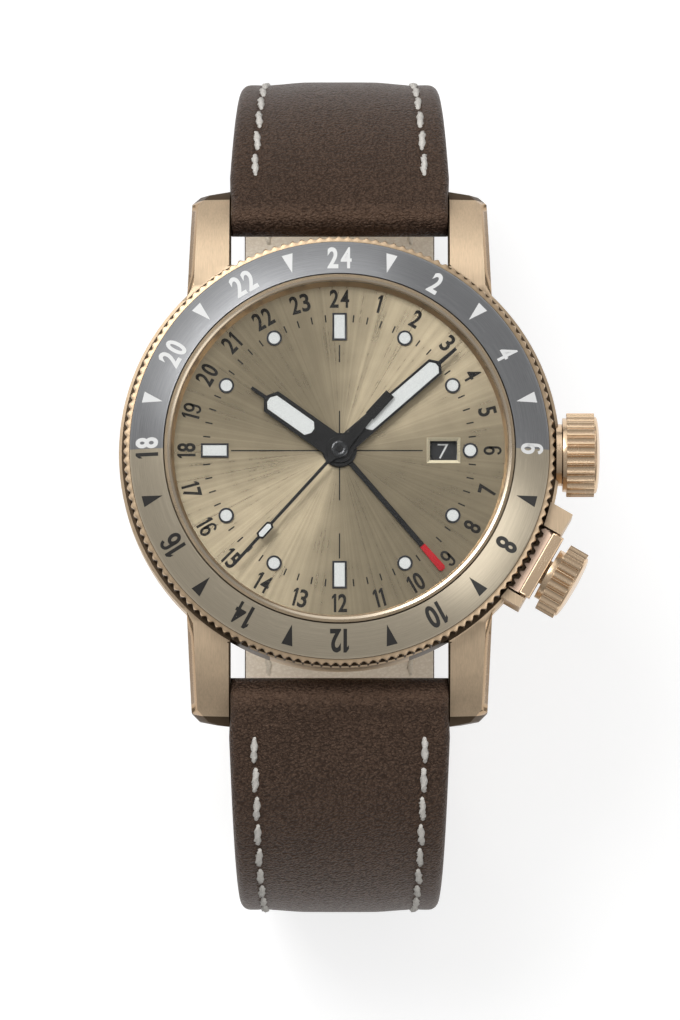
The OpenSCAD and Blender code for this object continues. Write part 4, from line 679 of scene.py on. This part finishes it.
LOZENGE = ((-0.82, 0), (-0.64, -0.27), (0.64, -0.27), (0.82, 0), (0.64, 0.27), (-0.64, 0.27))
LOZENGE_R = 11.15
SECOND_ANGLE, ZONE_ANGLE = -132.3, -49.2
second_turn = Matrix.Rotation(math.radians(SECOND_ANGLE), 3, "Z")
lozenge = polygon([(LOZENGE_R + x, y) for x, y in LOZENGE], DIAL_Z + 1.6)
bmesh.ops.rotate(lozenge, cent=(0, 0, 0), matrix=second_turn, verts=lozenge.verts)
printed(lozenge, "second_lume", lume, BODIES["second_hand"], thick=0.03)

red_paint = elastic("red_paint", (0.66, 0.02, 0.03), 0.2)
zone_turn = Matrix.Rotation(math.radians(ZONE_ANGLE), 3, "Z")
rows = []
for along, half in ((12.8, 0.3), (15.8, 0.37), (16.02, 0.2)):
    section = ((-half, 0.4), (half, 0.4), (half, 0.59), (0, 0.67), (-half, 0.59))
    rows.append([zone_turn @ Vector((along, y, DIAL_Z + rise)) for y, rise in section])
finish_mesh(woven(rows), "zone_hand_tip", BODIES["zone_hand"], red_paint, sharp=5)


# Crowns: the winding crown is fluted and domed, and turns on a tube that is pressed into the case.
# The second crown pushes a toothed shoe with a raised bar into the bezel's edge and locks it. All
# are satin bronze, but the stem and the wheels that it turns are steel.

PLATE_LOW, PLATE_TOP, PLATE_DROP = 44.3, 44.43, 0.3
crown_finish = metal("satin_crown_bronze", (0.70, 0.52, 0.35), 0.25, "satin", 0.0008, 0.04)
dressed("winding_crown", crown_finish, 0.045, angle=22)
dressed("lock_crown", crown_finish, 0.045, angle=22)
plate_finish = metal("satin_plate", (0.43, 0.315, 0.24), 0.45, "satin", 0.001, 0.05)
shoe = taken("lock_shoe")
for vert in shoe.verts:
    if PLATE_LOW < vert.co.z < PLATE_TOP:
        vert.co.z -= PLATE_DROP
soften(shoe, sharp_edges(shoe, lambda point: point.z > PLATE_TOP), 0.16, segments=3)
shoe.normal_update()
for face in shoe.faces:
    if face.calc_center_median().z < PLATE_LOW and face.normal.z > 0.5:
        face.material_index = 1
shoe_finishes = (crown_finish, plate_finish)
shoe = finish_mesh(shoe, "lock_shoe_piece", BODIES["lock_shoe"], shoe_finishes, sharp=40)
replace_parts(flat_faced(shoe), "lock_shoe")
dressed("crown_tube", crown_finish, 0.05)
steel = metal("polished_steel", (0.56, 0.56, 0.58), 0.26, "satin", 0.002)
for node in ("crown_stem", "winding_pinion", "crown_wheel", "ratchet_wheel"):
    keep(node, steel)


# Movement: nickel plated plates and bridges, held by blued screws, with ruby bearings, brass
# wheels, a gilt balance on a blued spring, and a heavy rotor that winds the barrel. The small steel
# parts have the stem's finish, and so have the strap's bars.

nickel = metal("grained_nickel", (0.60, 0.60, 0.61), 0.34, "satin", 0.006, 0.08)
for node in ("movement_ring", "main_plate", "barrel_bridge", "train_bridge", "balance_cock"):
    keep(node, nickel)
brass = metal("grained_brass", (0.66, 0.50, 0.22), 0.3, "round", 0.002)
for node in ("barrel", "center_wheel", "third_wheel", "fourth_wheel", "minute_wheel", "hour_wheel", "zone_wheel",
             "transfer_wheel", "date_drive_wheel"):
    keep(node, brass)
keep("bridge_screws", metal("blued_screws", (0.05, 0.09, 0.30), 0.2, "satin", 0.001))
keep("jewels", elastic("ruby_bearing", (0.42, 0.01, 0.07), 0.12))
blued_spring = metal("blued_spring", (0.10, 0.14, 0.30), 0.25, "satin", 0.001)
for node in ("mainspring", "hairspring"):
    keep(node, blued_spring)
for node in ("escape_wheel", "pallet_fork", "rotor_bearing", "spring_bars", "buckle_bar"):
    keep(node, steel)
keep("balance_wheel", metal("gilt_balance", (0.72, 0.53, 0.24), 0.22, "satin", 0.002))
keep("rotor", metal("gilt_rotor", (0.62, 0.52, 0.34), 0.32, "round", 0.004))


# Strap: two padded halves of dark brown calf over a filling, with painted edges, a cream lining
# glued under them and a line of waxed thread along each edge. Each is folded and glued round a
# bar at the lugs, and the upper half also round the buckle's bar.

BAR_Y, BAR_Z = 24.75, 39.2
LUG_T, END_T = 4.4, 2.4
BEND_HALF_T = 1.8
TIP = 8.0
STITCH_IN = 2.5
STITCH_STEP = 3.0
HOLES, HOLE_STEP, FIRST_HOLE_Y = 6, 6.5, 10.32


def rising(value, start, span):
    """0 up to a start, 1 from a span after it, and even between them."""
    return min(max((value - start) / span, 0.0), 1.0)


def strap_half(reach, leave, under, last, length, sign, taper):
    """The bends of a strap half: one down from the lugs, one under the watch, and a straight stretch."""
    leave = math.radians(leave)
    turn = (reach - BEND_HALF_T - BAR_Y) / (1 - math.sin(leave))
    return {"leave": leave, "turn": turn, "foot": BAR_Z - turn * math.cos(leave) - under, "reach": reach,
            "last": math.radians(last), "length": length, "sign": sign, "taper": taper}


UPPER = strap_half(reach=40.8, leave=12, under=END_T + 3.1 + END_T / 2, last=195, length=75.0, sign=1, taper=0.06)
LOWER = strap_half(reach=45.15, leave=5, under=END_T / 2, last=180, length=118.0, sign=-1, taper=0.038)


def strap_point(half, along, across, lift):
    """A place on a strap half: its length from the lug bar, across it, and outwards from its middle."""
    turn, foot, leave, last = half["turn"], half["foot"], half["leave"], half["last"]
    first = turn * (math.pi / 2 - leave)
    second = foot * (last - math.pi / 2)
    low_z = BAR_Z - turn * math.cos(leave)
    out_y = half["reach"] - BEND_HALF_T
    if along <= first:
        heading = -leave - max(along, 0.0) / turn
        y = BAR_Y - turn * math.sin(leave) - turn * math.sin(heading)
        z = low_z + turn * math.cos(heading)
        back = min(along, 0.0)
    else:
        heading = -math.pi / 2 - min(along - first, second) / foot
        y = out_y - foot - foot * math.sin(heading)
        z = low_z + foot * math.cos(heading)
        back = max(along - first - second, 0.0)
    y += back * math.cos(heading) - lift * math.sin(heading)
    z += back * math.sin(heading) + lift * math.cos(heading)
    return Vector((across, half["sign"] * y, z))


def strap_thickness(along):
    """The strap's thickness at a length: thick at the lugs, and thin from halfway on."""
    return LUG_T + (END_T - LUG_T) * rising(along, 12, 38)


def strap_width(half, along):
    """Half of the strap's width at a length: held by the lugs, narrower from there on, and round at the tip."""
    wide = max(11.03 + 0.18 * rising(along, 2.2, 0.8) - half["taper"] * max(along - 3, 0.0), 10.0)
    left = half["length"] - along
    if half is LOWER and left < TIP:
        wide *= math.sqrt(max(1 - (1 - left / TIP) ** 2, 0.002))
    return wide


def strap_end(half, along, thick):
    """The thickness where the leather folds round a bar at its end."""
    if along < 0:
        return 2 * math.sqrt(max((LUG_T / 2) ** 2 - along ** 2, 0.001))
    if half is UPPER and along > half["length"]:
        return 2 * math.sqrt(max((END_T / 2) ** 2 - (along - half["length"]) ** 2, 0.001))
    return thick


def stations(half, step=0.9):
    """Lengths at which a strap half is drawn, close together at its ends."""
    length = half["length"]
    places = [-LUG_T / 2 * math.cos(math.radians(a)) for a in range(0, 90, 11)]
    body = int((length - TIP) / step)
    places += [(length - TIP) * i / body for i in range(body)]
    if half is UPPER:
        places += [length - TIP + i for i in range(int(TIP))]
        places += [length + END_T / 2 * math.sin(math.radians(a)) for a in range(0, 91, 15)]
    else:
        places += [length - TIP * math.cos(math.radians(a)) for a in range(0, 91, 6)]
    return places


def loft(half, places, section):
    """A closed strip along a strap half, with the cross section that a function gives at each length."""
    return woven([[strap_point(half, along, *point) for point in section(along)] for along in places])


def padding(along):
    """How much the padded middle stands above the stitched edges."""
    return 0.34 * rising(along, -0.5, 5) * (1 - 0.62 * rising(along, 14, 36))


def leather_top(wide, across, thick, along):
    """Height of the leather above the strap's middle: crowned, with a groove for the thread."""
    inward = wide - abs(across)
    rise = rising(inward, STITCH_IN, 4.5)
    rise = rise * rise * (3 - 2 * rise)
    groove = 0.13 * math.exp(-((inward - STITCH_IN) / 0.4) ** 2) * rising(along, 0, 4)
    edge = min(0.95, thick * 0.4)
    drop = edge - math.sqrt(max(edge ** 2 - max(edge - inward, 0.0) ** 2, 0.0))
    return thick / 2 - (1 - rise) * padding(along) - groove * min(thick, 1) - drop


INWARD = (0, 0.04, 0.12, 0.25, 0.42, 0.65, 0.95, 1.35, 1.75, 2.05, 2.3, 2.5, 2.7, 2.95, 3.3, 3.9, 4.6, 5.4, 6.4, 8,
          12)


def leather_section(half):
    """The leather's cross section at each length, drawn at the distances INWARD from its edges."""
    def section(along):
        wide = strap_width(half, along)
        thick = strap_end(half, along, strap_thickness(along))
        right = [wide - min(d, wide) for d in INWARD]
        line = [-x for x in right[:-1]] + right[::-1]
        corner = min(0.4, thick * 0.2)
        base = -thick / 2 + 0.12 * min(thick / 2, 1)
        under = [(wide - corner + corner * math.cos(a), base + corner - corner * math.sin(a))
                 for a in (0, math.pi / 4, math.pi / 2)]
        return ([(x, leather_top(wide, x, thick, along)) for x in line] + under
                + [(wide * 0.4, base), (-wide * 0.4, base)] + [(-x, h) for x, h in under[::-1]])
    return section


def lining_section(half):
    """The lining's cross section at each length."""
    def section(along):
        wide = max(strap_width(half, along) - 0.12, 0.1)
        low = -strap_thickness(along) / 2
        right = [(wide, low + 0.3), (wide, low + 0.06), (wide - 0.06, low)]
        return right + [(-x, h) for x, h in right[::-1]]
    return section


def cut(shape, cutters):
    """The shape less the cutters."""
    held = [bpy.data.objects.new("cut", as_mesh(each, "cut")) for each in (shape, cutters)]
    for each in held:
        bpy.context.scene.collection.objects.link(each)
    modifier = held[0].modifiers.new("cut", "BOOLEAN")
    modifier.operation = "DIFFERENCE"
    modifier.solver = "EXACT"
    modifier.object = held[1]
    bpy.context.view_layer.update()
    mesh = bpy.data.meshes.new_from_object(held[0].evaluated_get(bpy.context.evaluated_depsgraph_get()))
    result = bmesh.new()
    result.from_mesh(mesh)
    for each in held:
        bpy.data.objects.remove(each)
    return result


def hide(name, dark, light, rough, grain, depth):
    """Leather: small pebbles with folds across the strap between them, and a paler band where it rolls over the lug
    bars, partly pull-up paling and partly painted sheen.
    """
    material, here, shader = start_finish(name)
    shader.inputs["Specular IOR Level"].default_value = 0.42
    shader.inputs["Specular Tint"].default_value = (1.0, 0.72, 0.55, 1)
    warped = here.node("ShaderNodeVectorMath", {"operation": "ADD"},
                       {0: here.scaled((0.7, 1, 1)), 1: here.noise(1.6).scaled((0.5,) * 3)})
    pebble = warped.node("ShaderNodeTexVoronoi", {"feature": "SMOOTH_F1"},
                         {"Vector": warped, "Scale": grain, "Smoothness": 0.35})
    folds = here.scaled((0.6, 1.6, 1.6)).noise(2.4, 4.0, 0.62)
    pores = here.noise(9.0, 3.0, 0.6)
    height = (1.0 - pebble) * 0.9 + folds * 0.4 + pores * 0.25
    wear = here.scaled((0.5, 1, 1)).noise(0.28, 3.0, 0.6)
    reach = here.axis("Y").math("ABSOLUTE")
    # Paler band over the lug bars: partly painted sheen in place of a highlight, partly pull-up leather paling at the
    # bend.
    sheen_and_pull_up = reach.band(23.6, 24.4) * (1.0 - reach.band(24.6, 26.0))
    tone = height * 0.8 + wear * 0.25 + sheen_and_pull_up * 0.28
    tone.band(0.62, 1.12).blend(dark, light).to(shader.inputs["Base Color"])
    (height * -0.16 + pores * 0.14 + wear * 0.1 + rough).to(shader.inputs["Roughness"])
    relief(height, shader, depth)
    return material


calf = hide("brown_calf", (0.024, 0.0135, 0.0095), (0.105, 0.064, 0.044), 0.42, 5.0, 0.2)
cream_lining = hide("cream_lining", (0.72, 0.63, 0.51), (0.84, 0.76, 0.64), 0.6, 4.0, 0.03)


def thread(name, dark, light):
    """Waxed linen thread, with its strands."""
    material, here, shader = start_finish(name)
    strands = here.scaled((3, 1.4, 1.4)).noise(5.0, 3.0, 0.6)
    strands.band(0.3, 0.7).blend(dark, light).to(shader.inputs["Base Color"])
    (strands * 0.2 + 0.5).to(shader.inputs["Roughness"])
    relief(strands, shader, 0.04)
    return material


white_thread = thread("white_thread", (0.56, 0.53, 0.48), (0.84, 0.81, 0.76))
cream_thread = thread("cream_thread", (0.62, 0.54, 0.43), (0.80, 0.72, 0.60))


def stitching(half, name, body, face, first, last):
    """Lines of stitches, each a short length of twisted thread that dips into its two holes."""
    rings, sides, turns, thick = 8, 6, 1.3, 0.36
    dice = random.Random(12)
    shape = bmesh.new()
    count = int((last - first) / STITCH_STEP)
    for side in (-1, 1):
        for step in range(count):
            middle = first + STITCH_STEP * (step + 0.5)
            wide = strap_width(half, middle)
            lean = dice.uniform(-0.05, 0.05) + 0.05 * side
            long = 1.46 + dice.uniform(-0.04, 0.04)
            phase = dice.uniform(0, 6.28)
            made = bmesh.ops.create_grid(shape, x_segments=rings, y_segments=sides, size=0.5)
            for vert in made["verts"]:
                share = vert.co.x * 2
                angle = vert.co.y * 2 * math.pi
                radius = thick * (1 - abs(share) ** 3.2) ** 0.5 * (1 + 0.2 * math.cos(2 * angle))
                twist = angle + share * turns * math.pi + phase
                across = side * (wide - STITCH_IN) + lean * share + radius * math.cos(twist)
                if face > 0:
                    ground = leather_top(wide, wide - STITCH_IN, strap_thickness(middle), middle) + 0.05
                else:
                    ground = -strap_thickness(middle) / 2 + 0.08
                ground -= face * 0.2 * share ** 4
                vert.co = strap_point(half, middle + share * long, across, ground + radius * 0.9 * math.sin(twist))
    bmesh.ops.remove_doubles(shape, verts=shape.verts, dist=2e-3)
    bmesh.ops.recalc_face_normals(shape, faces=shape.faces)
    finish_mesh(shape, name, body, white_thread if face > 0 else cream_thread, sharp=180)


def hole_punches():
    """Round punches for the lower half's holes."""
    punches = bmesh.new()
    for hole in range(HOLES):
        made = bmesh.ops.create_cone(punches, cap_ends=True, segments=32, radius1=1.0, radius2=1.0, depth=8)
        bmesh.ops.translate(punches, vec=(0, FIRST_HOLE_Y - HOLE_STEP * hole, 1), verts=made["verts"])
    return punches


def tongue_punch():
    """A square punch for the slot that the buckle's tongue turns in, at the upper half's end."""
    end = strap_point(UPPER, UPPER["length"], 0, 0)
    punch = bmesh.new()
    bmesh.ops.create_cube(punch, size=1)
    bmesh.ops.scale(punch, vec=(2.7, 6.2, 6), verts=punch.verts)
    bmesh.ops.translate(punch, vec=(0, end.y - 0.9, end.z), verts=punch.verts)
    return punch


for half, name, node, punches in ((LOWER, "lower", "strap_6", hole_punches()),
                                  (UPPER, "upper", "strap_12", tongue_punch())):
    leather = cut(loft(half, stations(half), leather_section(half)), punches)
    strap = finish_mesh(leather, name + "_leather", "strap_" + name, calf, sharp=60)
    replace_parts(strap, node)

for half, name, bare, end in ((UPPER, "upper", 7.0, 70.0), (LOWER, "lower", 3.0, 108.0)):
    body = "strap_" + name
    places = [place for place in stations(half) if 3.0 < place < half["length"] - bare]
    lining = loft(half, places, lining_section(half))
    if half is LOWER:
        lining = cut(lining, hole_punches())
    finish_mesh(lining, name + "_lining", body, cream_lining)
    stitching(half, name + "_stitching", body, 1, 3.2, end)
    stitching(half, name + "_lining_stitching", body, -1, 4.2, end)

for node in ("fixed_keeper", "sliding_keeper"):
    dressed(node, calf, 0.35, segments=3, sharp=50)


# Buckle: a bronze frame that turns on a steel bar in the upper half's end, with a flat bronze
# tongue on the same bar. Frame and tongue have a satin finish.

buckle_finish = metal("satin_buckle_bronze", (0.62, 0.44, 0.27), 0.28, "satin", 0.003)
dressed("buckle_frame", buckle_finish)
dressed("buckle_tongue", buckle_finish, 0.12)


# Scene: a plain pale floor, soft studio light from above and a camera over the dial, tilted a
# little towards the lower strap half.

TILT = math.radians(6.0)
DISTANCE = 0.9
camera_data = bpy.data.cameras.new("camera")
camera_data.sensor_fit = "VERTICAL"
camera_data.sensor_height = 36.0
camera_data.lens = 314.8
camera = bpy.data.objects.new("camera", camera_data)
bpy.context.scene.collection.objects.link(camera)
looked_at = Vector((0.00005, -0.00603, DIAL_Z * MM))
camera.location = looked_at + Vector((0, -math.sin(TILT), math.cos(TILT))) * DISTANCE
camera.rotation_euler = (TILT, 0, 0)
bpy.context.scene.camera = camera

floor_shape = bmesh.new()
bmesh.ops.create_grid(floor_shape, x_segments=1, y_segments=1, size=1.5)
floor_mesh = as_mesh(floor_shape, "floor")
floor = bpy.data.objects.new("floor", floor_mesh)
bpy.context.scene.collection.objects.link(floor)
floor_finish = bpy.data.materials.new("pale_floor")
floor_finish.use_nodes = True
tree = floor_finish.node_tree
shader = tree.nodes["Principled BSDF"]
shader.inputs["Base Color"].default_value = (0.5, 0.5, 0.5, 1)
shader.inputs["Roughness"].default_value = 0.9
shader.inputs["Specular IOR Level"].default_value = 0.0
rays = tree.nodes.new("ShaderNodeLightPath")
seen = Field(tree, rays.outputs["Is Camera Ray"]).math("MAXIMUM", Field(tree, rays.outputs["Is Glossy Ray"]))
seen = seen.math("MAXIMUM", Field(tree, rays.outputs["Is Transmission Ray"]))
glow = seen.node("ShaderNodeEmission", None, {"Color": (1, 1, 1, 1), "Strength": seen * 0.66})
both = glow.node("ShaderNodeAddShader", None, {0: Field(tree, shader.outputs[0]), 1: glow})
both.to(tree.nodes["Material Output"].inputs["Surface"])
floor_mesh.materials.append(floor_finish)

world = bpy.data.worlds.new("studio")
bpy.context.scene.world = world
world.use_nodes = True
tree = world.node_tree
background = tree.nodes["Background"]
coordinates = tree.nodes.new("ShaderNodeTexCoord")
rays = tree.nodes.new("ShaderNodeLightPath")
upward = Field(tree, coordinates.outputs["Generated"]).axis("Z")
sky = upward.node("ShaderNodeValToRGB", {"stops": ((0.0, 0.28), (0.35, 0.28), (1.0, 0.54))}, {0: upward})
seen = Field(tree, rays.outputs["Is Camera Ray"])
seen.blend(sky, (1.0, 1.0, 1.0)).to(background.inputs["Color"])
background.inputs["Strength"].default_value = 1.0


def soft_box(name, place, size, power):
    """A large square lamp that faces the watch."""
    data = bpy.data.lights.new(name, "AREA")
    data.shape = "SQUARE"
    data.size = size
    data.energy = power
    lamp = bpy.data.objects.new(name, data)
    bpy.context.scene.collection.objects.link(lamp)
    lamp.location = place
    away = Vector(place) - Vector((0, 0, 0.04))
    lamp.rotation_euler = away.to_track_quat("Z", "Y").to_euler()


soft_box("key_lamp", (-0.45, 0.55, 1.15), size=0.6, power=7.0)
soft_box("side_lamp", (-0.9, 0.9, 0.9), size=1.3, power=3.0)
soft_box("top_lamp", (-0.2, 1.3, 0.95), size=1.1, power=3.5)
soft_box("fill_lamp", (0.8, -0.4, 0.9), size=0.7, power=3.0)

bpy.context.scene.view_settings.view_transform = "Standard"
